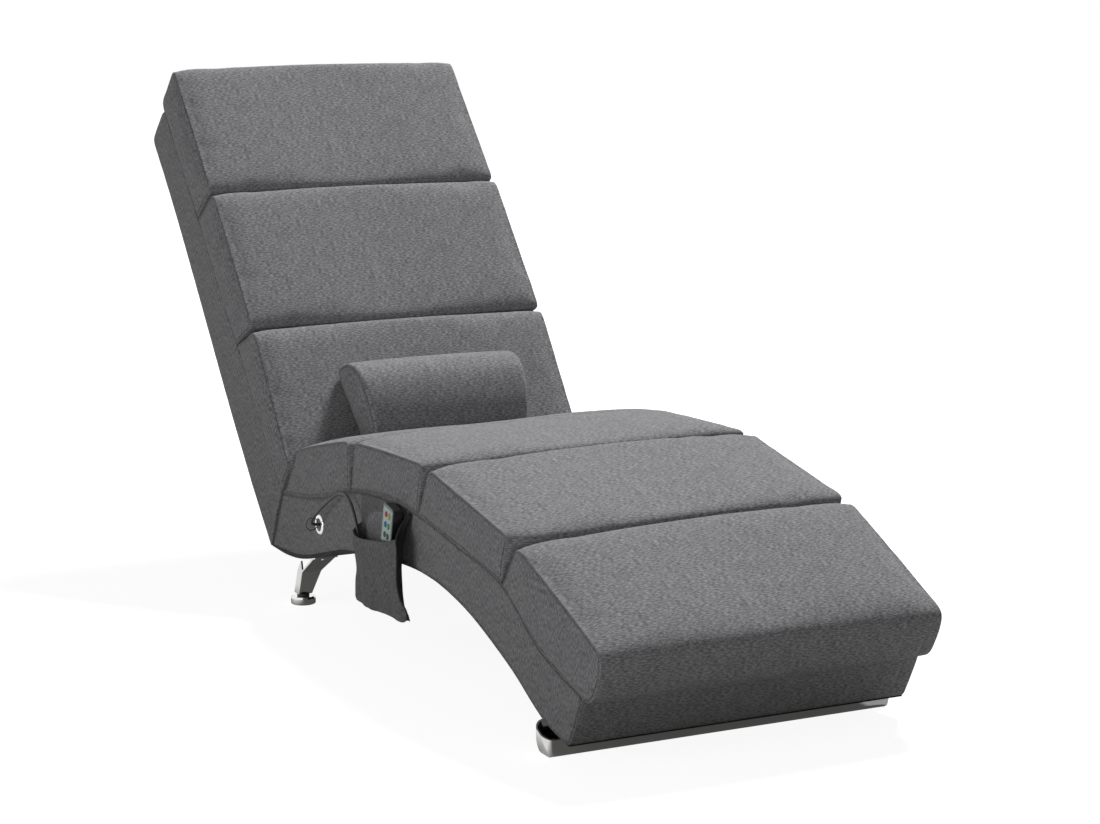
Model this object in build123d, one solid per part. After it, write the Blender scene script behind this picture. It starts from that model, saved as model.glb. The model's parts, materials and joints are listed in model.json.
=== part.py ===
"""Massage recliner: an S-curved upholstered lounger on a chrome front bar and two chrome rear legs.

Millimetres, +Z up. X runs across the seat, -Y is the foot end and +Y the head end. The origin is on
the floor at the middle of the footprint. Right and left are the sitter's, so right is -X.
"""
from build123d import *
from math import atan2, cos, degrees, hypot, radians, sin, tan
import os

# Whole lounger
overall_length = 1795
foot_overhang = 5
body_width = 550
fit_gap = 0.3
overrun = 5

# Seat base
seat_length = 1216
seat_rise = 262
cover_pad = 3
side_ply = 15
deck_ply = 8
rail_ply = 22
dust_cloth = 1
leg_rail_width = 60
leg_rail_height = 26
seat_joint_shares = [(0.051, 0.420), (0.259, 0.817), (0.500, 0.989), (0.716, 0.939), (0.956, 0.714)]
seat_between_shares = [(0.158, 0.557), (0.374, 0.908), (0.604, 1.000), (0.831, 0.794)]
seat_under_shares = [
    (0.085, 0.115), (0.151, 0.183), (0.245, 0.389), (0.375, 0.588),
    (0.512, 0.653), (0.709, 0.553), (0.888, 0.347), (1.000, 0.321),
]
rail_place_shares = [0.130, 0.275, 0.512]
box_rail_gap = 45

# Back
back_length = 831
back_depth = 110
back_angle = 47.5
junction_gap = 1.5
back_rear_shares = [(1.000, 0.80), (0.760, 0.81), (0.320, 0.99)]
back_rail_place_shares = [0.340, 0.690, 0.940]
back_rail_width = 40
back_bolt = 8
back_bolt_play = 0.4
back_bolt_head = 13
back_bolt_head_height = 5.3
back_bolt_drop = 40
back_bolt_place_shares = [-0.70, -0.25, 0.25, 0.70]

# Cushions
seat_cushion_height = 84
back_cushion_depth = 92
cushion_crown = 9
edge_roll = 16
end_roll = 26
end_draw = 4
groove_gap = 0.6
seat_lean_shares = [(-0.50, 0.82), (-0.33, 0.88), (-0.03, 0.95), (-0.80, 0.98)]
lip_shares = [(0.018, 0.771), (0.0016, 0.718), (-0.004, 0.622), (0.0115, 0.490), (0.037, 0.412)]
lip_heart_share = (0.060, 0.600)
back_joint_shares = [0.002, 0.367, 0.700, 1.022]
back_lean_shares = [0.012, 0.342, 0.678, 1.018]
back_depth_shares = [0.62, 0.95, 1.06, 1.10]
back_crown_shares = [0.15, 0.22, 0.20]
slice_shares = [(1.000, 1.00), (0.978, 0.45), (0.930, 0.14), (0.450, 0.04)]

# Front bar
bar_start = 150
bar_depth = 35
bar_front_height = 26
bar_wall = 2.5
bar_corner = 7
bar_end_bulge = 17
bar_tab_width = 40
bar_tab_place_shares = [-0.75, 0, 0.75]

# Rear legs and levelling feet
leg_side_inset = 7
leg_foot_width = 24
leg_bend_width = 35
leg_top_width = 41
leg_sheet = 3
leg_rear_inset = 99
leg_bend_run = 16
leg_top_run = 75
leg_foot_height = 18
leg_bend_height = 60
leg_cheek_depth = 21
leg_cheek_height = 79
leg_flange_length = 46
foot_diameter = 42
foot_height = 13
foot_edge = 3
stud_diameter = 8
stud_length = 32
stud_play = 0.05
insert_length = 12
insert_wall = 2
leg_screw_shares = (0.35, 0.80)

# Wood screws
screw_shank = 4
screw_head = 8
screw_head_height = 2.5
screw_length = 22
screw_play = 0.2

# Grommet and tie loop
grommet_rear_inset = 216
grommet_height = 164
grommet_outer = 33
grommet_hole = 22
grommet_barrel_wall = 1
grommet_flange = 2.5
tie_wire = 1.6
tie_loop = 21
tie_place_share = 0.085

# Control box
box_length = 90
box_height = 53
box_depth = 28
box_wall = 2
box_lid = 2
box_socket = 12
box_socket_length = 11.6
circuit_board = 1.6
board_inset = 3
chip_height = 8

# Massage pods
pod_width = 62
pod_length = 36
pod_height = 33
pod_wall = 2
pod_play = 0.6
motor_diameter = 24
motor_length = 28
motor_lift = 17
motor_cradle_width = 20
motor_cradle_height = 9
shaft_diameter = 3
shaft_play = 0.05
shaft_length = 50
weight_radius = 11
weight_length = 8
weight_side_play = 0.6
thigh_pod_share = 0.5
calf_pod_share = 0.5
lumbar_pod_share = 0.185
shoulder_pod_share = 0.530

# Handset
handset_width = 50
handset_length = 125
handset_depth = 17
handset_corner = 7
handset_wall = 1.8
handset_split = 1
handset_inset = 31
handset_top_height = 262
handset_stand_off = 15
handset_lean_in = 3
handset_lean_fore = 6
handset_turn = 6
label_film = 0.3
label_margin = 4
key_diameter = 9
key_play = 0.25
key_travel = 1
key_rise = 1.2
key_flange = 1.2
key_flange_height = 1
key_column = 14
key_row = 16
key_top_row_share = 0.38
relief_length = 12
relief_wide = 9
relief_narrow = 7

# Remote pocket, hung on the right side of the seat base
pocket_ahead = 368
pocket_length = 218
pocket_cloth = 1.5
pocket_seam_height = 255
pocket_seam_length = 70
pocket_lip_start_height = 215
pocket_lip_end_height = 190
pocket_levels = [78, 98, 140, 216]
pocket_reach_shares = [0.55, 0.96, 1.00, 0.98]
pocket_reach = 34.4
pocket_far_reach = 22
pocket_belly_share = 0.30
pocket_floor = 4
binding_width = 4
binding_thickness = 2.2

# Bolster
bolster_length = 300
bolster_height = 166
bolster_depth = 80
bolster_foot = 5.2
bolster_roll = 24
bolster_end_draw = 7

# Handset cord: points chosen along its route from the socket to the handset (x, distance from the
# foot end, height)
cord_diameter = 5
cord_sides = 8
cord_route = [
    (-268, 1001, 164), (-283, 1001, 164), (-295.5, 992, 170.5), (-295, 975, 186), (-293.5, 948, 204),
    (-291, 920, 222), (-288.5, 893, 237), (-288, 866, 244), (-289, 840, 238), (-290, 819, 219),
    (-291.5, 801, 194), (-292, 788, 165), (-292, 773, 137), (-292.5, 750, 113), (-293.5, 720, 100),
    (-296, 694, 99),
]
cord_end_run = 16
cord_bend_share = 0.45

# Roundings
corner_arc_share = 0.414
halvings = 40
arc_count = 10

# How solids stand at their own origin
upward = (Align.CENTER, Align.CENTER, Align.MIN)
downward = (Align.CENTER, Align.CENTER, Align.MAX)
sideways = (Align.MIN, Align.CENTER, Align.CENTER)

# Places worked out from the sizes above
leg_foot_place = seat_length - leg_rear_inset
leg_bend_place = leg_foot_place - leg_bend_run
leg_top_place = leg_foot_place - leg_top_run
grommet_place = seat_length - grommet_rear_inset
pocket_start = grommet_place - pocket_ahead
pocket_end = pocket_start + pocket_length
pocket_seam_end = pocket_start + pocket_seam_length
handset_top_place = pocket_start + handset_inset
half_width = body_width / 2
middle = overall_length / 2 - foot_overhang
cover_inside = half_width - cover_pad
panel_outside = cover_inside - fit_gap
panel_inside = panel_outside - side_ply
rail_half = panel_inside - fit_gap
groove_half = groove_gap / 2


def spot(place, height):
    """A point of the side view, from its distance behind the foot end and its height."""
    return (place - middle, height)


def seat_spot(share):
    """A point of the seat base's outline from a pair of shares."""
    return spot(seat_length * share[0], seat_rise * share[1])


def moved_by(point, along, up=0):
    """A side view point moved along Y and Z."""
    return (point[0] + along, point[1] + up)


def mix(first, second, share):
    """The point that lies a share of the way from the first point to the second."""
    return (first[0] + (second[0] - first[0]) * share, first[1] + (second[1] - first[1]) * share)


def distance(first, second):
    """The distance between two side view points."""
    return hypot(second[0] - first[0], second[1] - first[1])


def toward(first, second, length):
    """The point a length from the first point on the way to the second."""
    return mix(first, second, length / distance(first, second))


def across(face, start, end):
    """A solid that carries a side view face along X from start to end."""
    return extrude(Plane.YZ.offset(start) * face, amount=end - start, dir=(1, 0, 0))


def mirrored(part):
    """The other side's copy of a part."""
    return mirror(part, about=Plane.YZ)


def polygon(points):
    """A flat face from its corners in the side view."""
    return make_face(Polyline(*points, close=True))


def shifted(face, along, up=0):
    """A side view face moved along Y and Z."""
    return Pos(along, up, 0) * face


# Outline of the seat base
seat_joints = [seat_spot(share) for share in seat_joint_shares]
seat_betweens = [seat_spot(share) for share in seat_between_shares]
seat_under_spots = [seat_spot(share) for share in seat_under_shares]
rear_top = seat_joints[-1]
rear_tip = seat_under_spots[-1]
rear_height = distance(rear_top, rear_tip)
rear_along = ((rear_tip[0] - rear_top[0]) / rear_height, (rear_tip[1] - rear_top[1]) / rear_height)
rear_normal = (-rear_along[1], rear_along[0])


def seat_top_arcs(lift):
    """The seat deck's line as one arc under each cushion, raised by lift."""
    arcs = []
    for number, between in enumerate(seat_betweens):
        start = moved_by(seat_joints[number], 0, lift)
        end = moved_by(seat_joints[number + 1], 0, lift)
        arcs.append(ThreePointArc(start, moved_by(between, 0, lift), end))
    return arcs


def in_arcs(curve):
    """A smooth curve as a chain of short arcs that pass through it."""
    arcs = []
    for number in range(arc_count):
        shares = [(number + part) / arc_count for part in (0, 1 / 2, 1)]
        arcs.append(ThreePointArc(*[curve @ share for share in shares]))
    return arcs


seat_under_curve = Spline(*seat_under_spots)


def seat_under_line(lift):
    """The curved underside of the seat base, raised by lift."""
    return in_arcs(Pos(0, lift) * seat_under_curve)


def band(lower, upper):
    """A thin face between two lines of the side view that run the same way."""
    ends = [Line(lower[0] @ 0, upper[0] @ 0), Line(lower[-1] @ 1, upper[-1] @ 1)]
    return make_face([*lower, *upper, *ends])


def under_band(low, high):
    """A thin face along the underside of the seat, between two heights above it."""
    return band(seat_under_line(low), seat_under_line(high))


def seat_outline(top_drop, under_lift):
    """The seat base in side view, with its top lowered and its underside raised."""
    front = Line(moved_by(seat_joints[0], 0, -top_drop), moved_by(seat_under_spots[0], 0, under_lift))
    rear = Line(moved_by(rear_top, 0, -top_drop), moved_by(rear_tip, 0, under_lift))
    return make_face([*seat_top_arcs(-top_drop), front, *seat_under_line(under_lift), rear])


seat_profile = seat_outline(0, 0)
end_inset = cover_pad + fit_gap


def under_at(place):
    """Height and slope angle of the seat's underside at a distance behind the foot end."""
    line = seat_under_curve
    target = place - middle
    low = 0
    high = 1
    for _ in range(halvings):
        half = (low + high) / 2
        if line.position_at(half).X < target:
            low = half
        else:
            high = half
    tangent = line.tangent_at(low)
    return line.position_at(low).Y, degrees(atan2(tangent.Y, tangent.X))


def slanted(start, end, reach=rear_height):
    """A strip along the seat's rear face, from start to end behind it."""
    corners = []
    for offset, side in ((start, -reach), (end, -reach), (end, 2 * reach), (start, 2 * reach)):
        along = rear_normal[0] * offset + rear_along[0] * side
        corners.append(moved_by(rear_top, along, rear_normal[1] * offset + rear_along[1] * side))
    return polygon(corners)


def upright(start, end, top=2 * seat_rise):
    """A vertical strip of the side view."""
    low = spot(start, -overrun)
    return polygon([low, spot(end, -overrun), spot(end, top), spot(start, top)])


def behind_front(start, end):
    """A strip along the seat's front face, from start to end behind it."""
    top = toward(seat_under_spots[0], seat_joints[0], 2 * seat_rise)
    foot = toward(seat_joints[0], seat_under_spots[0], 2 * seat_rise)
    return polygon([moved_by(foot, start), moved_by(foot, end), moved_by(top, end), moved_by(top, start)])


seat_ahead_of_rear = slanted(-2 * seat_length, -end_inset * rear_normal[0], 2 * seat_length)
seat_between_ends = behind_front(end_inset, seat_length) & seat_ahead_of_rear
seat_frame_face = seat_outline(deck_ply + fit_gap, dust_cloth + fit_gap) & seat_between_ends


# Outline of the back
slope = (cos(radians(back_angle)), sin(radians(back_angle)))
inward = (slope[1], -slope[0])
back_foot = moved_by(rear_top, junction_gap)


def back_spot(run, depth):
    """A side view point of the back, from its run up the slope and its depth behind the front."""
    along = slope[0] * run + inward[0] * depth
    return moved_by(back_foot, along, slope[1] * run + inward[1] * depth)


foot_reach = back_depth / (rear_along[0] * inward[0] + rear_along[1] * inward[1])
back_tip = moved_by(back_foot, rear_along[0] * foot_reach, rear_along[1] * foot_reach)


def back_outline():
    """The back shell in side view."""
    front_top = back_spot(back_length, 0)
    rear_spots = [back_spot(back_length * run, back_depth * depth) for run, depth in back_rear_shares]
    front = Line(back_foot, front_top)
    top = Line(front_top, rear_spots[0])
    rear = in_arcs(Spline(*rear_spots, back_tip))
    return make_face([front, top, *rear, Line(back_tip, back_foot)])


def back_block(runs, depths):
    """A strip of the back in side view, between two runs up the slope and two depths."""
    start, end = runs
    front, rear = depths
    corners = ((start, front), (end, front), (end, rear), (start, rear))
    return polygon([back_spot(run, depth) for run, depth in corners])


back_profile = back_outline()
back_all_along = (-back_length, 2 * back_length)
back_all_through = (-back_depth, 2 * back_depth)


def back_inset(pad):
    """The back in side view without a thickness at its rear, top and foot."""
    inner = back_profile & shifted(back_profile, -inward[0] * pad, -inward[1] * pad)
    inner = inner & shifted(back_profile, -slope[0] * pad, -slope[1] * pad)
    return inner & slanted(junction_gap * rear_normal[0] + pad, overall_length, overall_length)


back_frame_face = back_inset(end_inset) & back_block(back_all_along, (deck_ply + fit_gap, 2 * back_depth))


def bolt_frame(side_share):
    """The frame of one bolt, at the junction, with Z through both rails."""
    x = side_share * rail_half
    y, z = moved_by(rear_top, rear_along[0] * back_bolt_drop, rear_along[1] * back_bolt_drop)
    return Plane(origin=(x, y, z), x_dir=(1, 0, 0), z_dir=(0, *rear_normal))


seat_rail_reach = (end_inset + rail_ply) * rear_normal[0]
back_rail_reach = (junction_gap + rail_ply) * rear_normal[0] + end_inset


def bolt_bores():
    """The bores of the bolts through rails and covers."""
    radius = back_bolt / 2 + back_bolt_play
    bores = []
    for share in back_bolt_place_shares:
        bore = Cylinder(radius, 2 * (seat_rail_reach + back_rail_reach))
        bores.append(bolt_frame(share) * bore)
    return bores


def hexagon_bolts():
    """Four bolts that carry the back, each with its nut."""
    solids = []
    for share in back_bolt_place_shares:
        frame = bolt_frame(share)
        head_base = -seat_rail_reach - fit_gap
        nut_base = back_rail_reach + fit_gap
        head = extrude(RegularPolygon(back_bolt_head / 2, 6), amount=-back_bolt_head_height)
        shank_length = nut_base + back_bolt_head_height + overrun - head_base
        shank = extrude(Circle(back_bolt / 2), amount=shank_length)
        solids.append(frame * (Pos(0, 0, head_base) * (head + shank)))
        ring = RegularPolygon(back_bolt_head / 2, 6) - Circle(back_bolt / 2 + stud_play)
        solids.append(frame * (Pos(0, 0, nut_base) * extrude(ring, amount=back_bolt_head_height)))
    return solids


# Wood screws
def wood_screw(play=0):
    """A screw that points up from the face under its head."""
    head = Cylinder(screw_head / 2 + play, screw_head_height, align=downward)
    shank = Cylinder(screw_shank / 2 + play, screw_length, align=upward)
    return head + shank


def under_frame(x, place, drop):
    """A frame under the seat at a place, lowered by drop along its normal."""
    height, angle = under_at(place)
    tilt = radians(angle)
    y, z = moved_by(spot(place, height), drop * sin(tilt), -drop * cos(tilt))
    return Plane(origin=(x, y, z), x_dir=(1, 0, 0), z_dir=(0, -sin(tilt), cos(tilt)))


bar_screw_place = bar_start + bar_depth / 2
leg_outer = half_width - leg_side_inset
leg_screw_side = leg_outer - leg_top_width / 2
bar_screw_frames = [
    under_frame(share * half_width, bar_screw_place, bar_wall + 2 * fit_gap)
    for share in bar_tab_place_shares
]
leg_screw_frames = [
    under_frame(side * leg_screw_side, leg_top_place + share * leg_flange_length, leg_sheet + 2 * fit_gap)
    for side in (-1, 1)
    for share in leg_screw_shares
]


def screws(frames, play=0):
    """One wood screw at each frame."""
    return [frame * wood_screw(play) for frame in frames]


screw_bores = screws(bar_screw_frames + leg_screw_frames, screw_play)


def cut(part, tools):
    """The part with all the tools cut from it."""
    for tool in tools:
        part = part - tool
    return part


# Seat frame
grommet_y, grommet_z = spot(grommet_place, grommet_height)
grommet_centre = (-half_width, grommet_y, grommet_z)
grommet_out = Plane(origin=grommet_centre, x_dir=(0, -1, 0), z_dir=(-1, 0, 0))
barrel_outer = grommet_hole / 2 + grommet_barrel_wall
grommet_bore = grommet_out * Cylinder(barrel_outer + fit_gap, 2 * (cover_pad + side_ply + overrun))


def seat_side_panel():
    """The right plywood side of the seat."""
    return across(seat_frame_face, -panel_outside, -panel_inside)


def seat_cross_rails():
    """The timbers between the seat's side panels."""
    strips = [behind_front(end_inset, end_inset + rail_ply)]
    for share in rail_place_shares:
        strips.append(upright(seat_length * share, seat_length * share + rail_ply))
    box_rail_end = grommet_place - box_length / 2 - box_rail_gap
    strips.append(upright(box_rail_end - rail_ply, box_rail_end))
    leg_rail_top = under_at(leg_top_place)[0] + leg_rail_height
    strips.append(upright(leg_top_place - overrun, leg_top_place - overrun + leg_rail_width, leg_rail_top))
    strips.append(slanted(-seat_rail_reach, -end_inset * rear_normal[0]))
    bores = screw_bores + bolt_bores()
    return [cut(across(seat_frame_face & strip, -rail_half, rail_half), bores) for strip in strips]


def seat_deck():
    """The bent plywood that the seat cushions lie on."""
    face = band(seat_top_arcs(-deck_ply), seat_top_arcs(0)) & seat_between_ends
    return across(face, -panel_outside, panel_outside)


def seat_side_cover():
    """The padded cloth on the right side of the seat."""
    return across(seat_profile, -half_width, -cover_inside)


def seat_end_cover(top, bottom, thickness):
    """The padded cloth over one end of the seat, between the side covers."""
    face = polygon([top, bottom, moved_by(bottom, thickness), moved_by(top, thickness)])
    return across(face & seat_profile, -panel_outside, panel_outside)


def dust_cover():
    """The black cloth under the seat."""
    face = under_band(0, dust_cloth) & seat_between_ends
    return cut(across(face, -panel_outside, panel_outside), screw_bores)


# Back frame
def back_side_panel():
    """The right plywood side of the back."""
    return across(back_frame_face, -panel_outside, -panel_inside)


def back_cross_rails():
    """The timbers between the back's side panels."""
    start = junction_gap * rear_normal[0] + end_inset
    strips = [slanted(start, start + rail_ply * rear_normal[0])]
    for share in back_rail_place_shares:
        run = back_length * share
        strips.append(back_block((run, run + back_rail_width), back_all_through))
    return [cut(across(back_frame_face & strip, -rail_half, rail_half), bolt_bores()) for strip in strips]


def back_board():
    """The plywood that the back cushions lie on."""
    face = back_inset(end_inset) & back_block(back_all_along, (-overrun, deck_ply))
    return across(face, -panel_outside, panel_outside)


def back_cover():
    """The sewn cover over the sides, rear, top and foot of the back."""
    shell = across(back_profile, -half_width, half_width)
    shell = shell - across(back_inset(cover_pad), -cover_inside, cover_inside)
    return cut(shell, bolt_bores())


# Cushions
def corner_arc(start, corner, end):
    """A rounded corner as one arc near both of its sides."""
    through = mix(mix(start, end, 1 / 2), corner, corner_arc_share)
    return ThreePointArc(start, through, end)


def cushion_slice(foot, tops, crown, edge):
    """One upright slice of a cushion.

    foot is the edge that it lies on, tops its two upper corners and edge how much of the side roll
    this slice takes, from 0 at the middle to 1 at the side.
    """
    start = foot @ 0
    end = foot @ 1
    start = (start.X, start.Y)
    end = (end.X, end.Y)
    first, last = tops
    drop = edge_roll * edge
    first = toward(toward(first, start, drop + groove_gap), last, end_draw * edge + groove_half)
    last = toward(toward(last, end, drop + groove_gap), first, end_draw * edge + groove_half)
    chord = distance(first, last)
    normal = ((first[1] - last[1]) / chord, (last[0] - first[0]) / chord)
    if normal[0] * (first[0] - start[0]) + normal[1] * (first[1] - start[1]) < 0:
        normal = (-normal[0], -normal[1])
    rise = crown * (1 - edge) + drop / 4
    crest = moved_by(mix(first, last, 1 / 2), normal[0] * rise, normal[1] * rise)
    first_side = toward(first, start, end_roll)
    last_side = toward(last, end, end_roll)
    first_top = toward(first, last, end_roll)
    last_top = toward(last, first, end_roll)
    return make_face([
        foot,
        Line(end, last_side),
        corner_arc(last_side, last, last_top),
        ThreePointArc(last_top, crest, first_top),
        corner_arc(first_top, first, first_side),
        Line(first_side, start),
    ])


def across_slices(slice_at, half):
    """A soft solid lofted along X through its slices, fullest in the middle."""
    sections = []
    for place, edge in slice_shares:
        sections.append((-half * place, edge))
    sections.append((0, 0))
    for place, edge in reversed(slice_shares):
        sections.append((half * place, edge))
    faces = [Plane.YZ.offset(x) * slice_at(edge) for x, edge in sections]
    return loft(faces, ruled=True)


seat_tops = []
for joint, lean in zip(seat_joints[1:], seat_lean_shares):
    seat_tops.append(moved_by(joint, seat_cushion_height * lean[0], seat_cushion_height * lean[1]))


def seat_foot_arc(number):
    """The line that one seat cushion lies on, just above the deck."""
    start = moved_by(seat_joints[number], groove_half, fit_gap)
    end = moved_by(seat_joints[number + 1], -groove_half, fit_gap)
    return ThreePointArc(start, moved_by(seat_betweens[number], 0, fit_gap), end)


def seat_cushion(number):
    """One seat cushion, counted from the foot end."""
    tops = (seat_tops[number - 1], seat_tops[number])

    def slice_at(edge):
        return cushion_slice(seat_foot_arc(number), tops, cushion_crown, edge)

    return across_slices(slice_at, half_width)


def lip_slice(edge):
    """One slice of the foot cushion, whose lip turns down over the front of the base."""
    foot = seat_foot_arc(0)
    start = ((foot @ 0).X, (foot @ 0).Y)
    end = ((foot @ 1).X, (foot @ 1).Y)
    drop = edge_roll * edge
    last = toward(toward(seat_tops[0], end, drop + groove_gap), start, end_draw * edge + groove_half)
    heart = seat_spot(lip_heart_share)
    top, over, nose, under, lip_foot = [toward(seat_spot(share), heart, drop) for share in lip_shares]
    last_side = toward(last, end, end_roll)
    last_top = toward(last, top, end_roll)
    rise = cushion_crown * (1 - edge) + drop / 4
    crest = moved_by(mix(last_top, top, 1 / 2), -rise / 2, rise)
    return make_face([
        foot,
        Line(end, last_side),
        corner_arc(last_side, last, last_top),
        ThreePointArc(last_top, crest, top),
        ThreePointArc(top, over, nose),
        ThreePointArc(nose, under, lip_foot),
        Line(lip_foot, start),
    ])


def back_tops(number):
    """The two front corners of one back cushion in side view."""
    tops = []
    for joint in (number, number + 1):
        depth = back_cushion_depth * back_depth_shares[joint]
        tops.append(back_spot(back_length * back_lean_shares[joint], -depth))
    return tops


def back_cushion(number):
    """One back cushion, counted from the seat."""
    first_run, last_run = (back_length * share for share in back_joint_shares[number:number + 2])
    start = back_spot(first_run + groove_half, -fit_gap)
    end = back_spot(last_run - groove_half, -fit_gap)
    tops = back_tops(number)
    crown = back_cushion_depth * back_crown_shares[number]

    def slice_at(edge):
        return cushion_slice(Line(start, end), tops, crown, edge)

    return across_slices(slice_at, half_width)


# Massage pods
def pod_on_seat(number, share):
    """The frame of a pod on the deck under one seat cushion."""
    arc = seat_top_arcs(fit_gap)[number]
    point = arc @ share
    tangent = arc % share
    return Plane(origin=(0, point.X, point.Y), x_dir=(1, 0, 0), z_dir=(0, -tangent.Y, tangent.X))


def pod_on_back(share):
    """The frame of a pod on the back board."""
    y, z = back_spot(back_length * share, -fit_gap)
    return Plane(origin=(0, y, z), x_dir=(1, 0, 0), z_dir=(0, -inward[0], -inward[1]))


pod_frames = {
    "calf": pod_on_seat(1, calf_pod_share),
    "thigh": pod_on_seat(2, thigh_pod_share),
    "lumbar": pod_on_back(lumbar_pod_share),
    "shoulder": pod_on_back(shoulder_pod_share),
}


def pod_cavity():
    """The room that a cushion leaves for its pod."""
    size = (pod_width + 2 * pod_play, pod_length + 2 * pod_play, pod_height + pod_play + overrun)
    return Pos(0, 0, -overrun) * Box(*size, align=upward)


def pod_base():
    """The pod's base plate with the motor's cradle."""
    plate = Box(pod_width, pod_length, pod_wall, align=upward)
    width = motor_cradle_width
    cradle = Pos(0, 0, pod_wall) * Box(width, width, motor_cradle_height, align=upward)
    motor = Pos(0, 0, motor_lift) * Rot(0, 90, 0) * Cylinder(motor_diameter / 2 + fit_gap / 2, motor_length)
    return plate + cradle - motor


def pod_case():
    """The pod's cover, open to its base plate."""
    height = pod_height - pod_wall - fit_gap / 2
    case = Box(pod_width, pod_length, height, align=upward)
    case = fillet(case.edges().filter_by(Axis.Z), pod_wall)
    inside = Box(pod_width - 2 * pod_wall, pod_length - 2 * pod_wall, height - pod_wall, align=upward)
    return Pos(0, 0, pod_wall + fit_gap / 2) * (case - inside)


def pod_motor():
    """The motor's can, bored for its shaft."""
    can = Cylinder(motor_diameter / 2, motor_length)
    can = chamfer(can.edges(), shaft_diameter / 3)
    bore = Cylinder(shaft_diameter / 2 + shaft_play, motor_length + overrun)
    return Pos(0, 0, motor_lift) * Rot(0, 90, 0) * (can - bore)


def eccentric_weights():
    """The motor's shaft with a half-disc weight at each end."""
    shaft = Cylinder(shaft_diameter / 2, shaft_length)
    start = motor_length / 2 + weight_side_play
    disc = Pos(0, 0, start) * Cylinder(weight_radius, weight_length, align=upward)
    half = Box(2 * weight_radius, 2 * weight_radius, shaft_length)
    weight = disc & (Pos(weight_radius + shaft_diameter / 4, 0, 0) * half)
    collar = Pos(0, 0, start) * Cylinder(shaft_diameter, weight_length, align=upward)
    one = weight + collar
    return Pos(0, 0, motor_lift) * Rot(0, 90, 0) * (shaft + one + mirror(one, about=Plane.XY))


def at_pods(shape):
    """A copy of the shape at each pod."""
    return [frame * shape for frame in pod_frames.values()]


# Front bar
bar_rear_height = under_at(bar_start + bar_depth)[0] - fit_gap


def bar_section(inset, top=0):
    """The bar's trough in side view, filled, inset by a wall and raised to a top."""
    front = bar_start + inset
    rear = bar_start + bar_depth - inset
    corner = bar_corner - inset
    floor = inset
    front_top = spot(front, bar_front_height + top)
    rear_top_corner = spot(rear, bar_rear_height + top)
    line = FilletPolyline(front_top, spot(front, floor), spot(rear, floor), rear_top_corner, radius=corner)
    return make_face([line, Line(rear_top_corner, front_top)])


bar_end = half_width + bar_end_bulge


def front_bar():
    """The folded trough of the front bar with its screw tabs."""
    trough = bar_section(0) - bar_section(bar_wall, overrun)
    bar = across(trough, -half_width, half_width)
    tab_face = under_band(-bar_wall - fit_gap, -fit_gap)
    tab_face = tab_face & upright(bar_start + bar_wall, bar_start + bar_depth - bar_wall / 2)
    for share in bar_tab_place_shares:
        centre = share * half_width
        bar = bar + across(tab_face, centre - bar_tab_width / 2, centre + bar_tab_width / 2)
    return cut(bar, screws(bar_screw_frames, screw_play))


def bar_end_cap():
    """The right end of the bar, a plate bulged outward."""
    length = bar_end - half_width
    depth = bar_depth / 2
    radius = (length * length + depth * depth) / (2 * length)
    drop_radius = 3 * bar_end_bulge + bar_rear_height
    shapes = []
    for inset in (0, bar_wall):
        body = across(bar_section(inset, inset * 2), -bar_end, -half_width)
        turn_x = -bar_end + radius
        plan = Pos(turn_x, spot(bar_start + depth, 0)[0], 0) * Cylinder(radius - inset, overall_length)
        lean_x = -bar_end + drop_radius
        lean = Pos(lean_x, spot(bar_start, 0)[0], bar_rear_height) * Rot(90, 0, 0)
        shapes.append(body & plan & (lean * Cylinder(drop_radius - inset, overall_length)))
    return shapes[0] - shapes[1]


# Rear legs and levelling feet
foot_centre = (
    -(leg_outer - leg_foot_width / 2),
    spot(leg_foot_place + leg_cheek_depth / 2, 0)[0],
)


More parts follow.
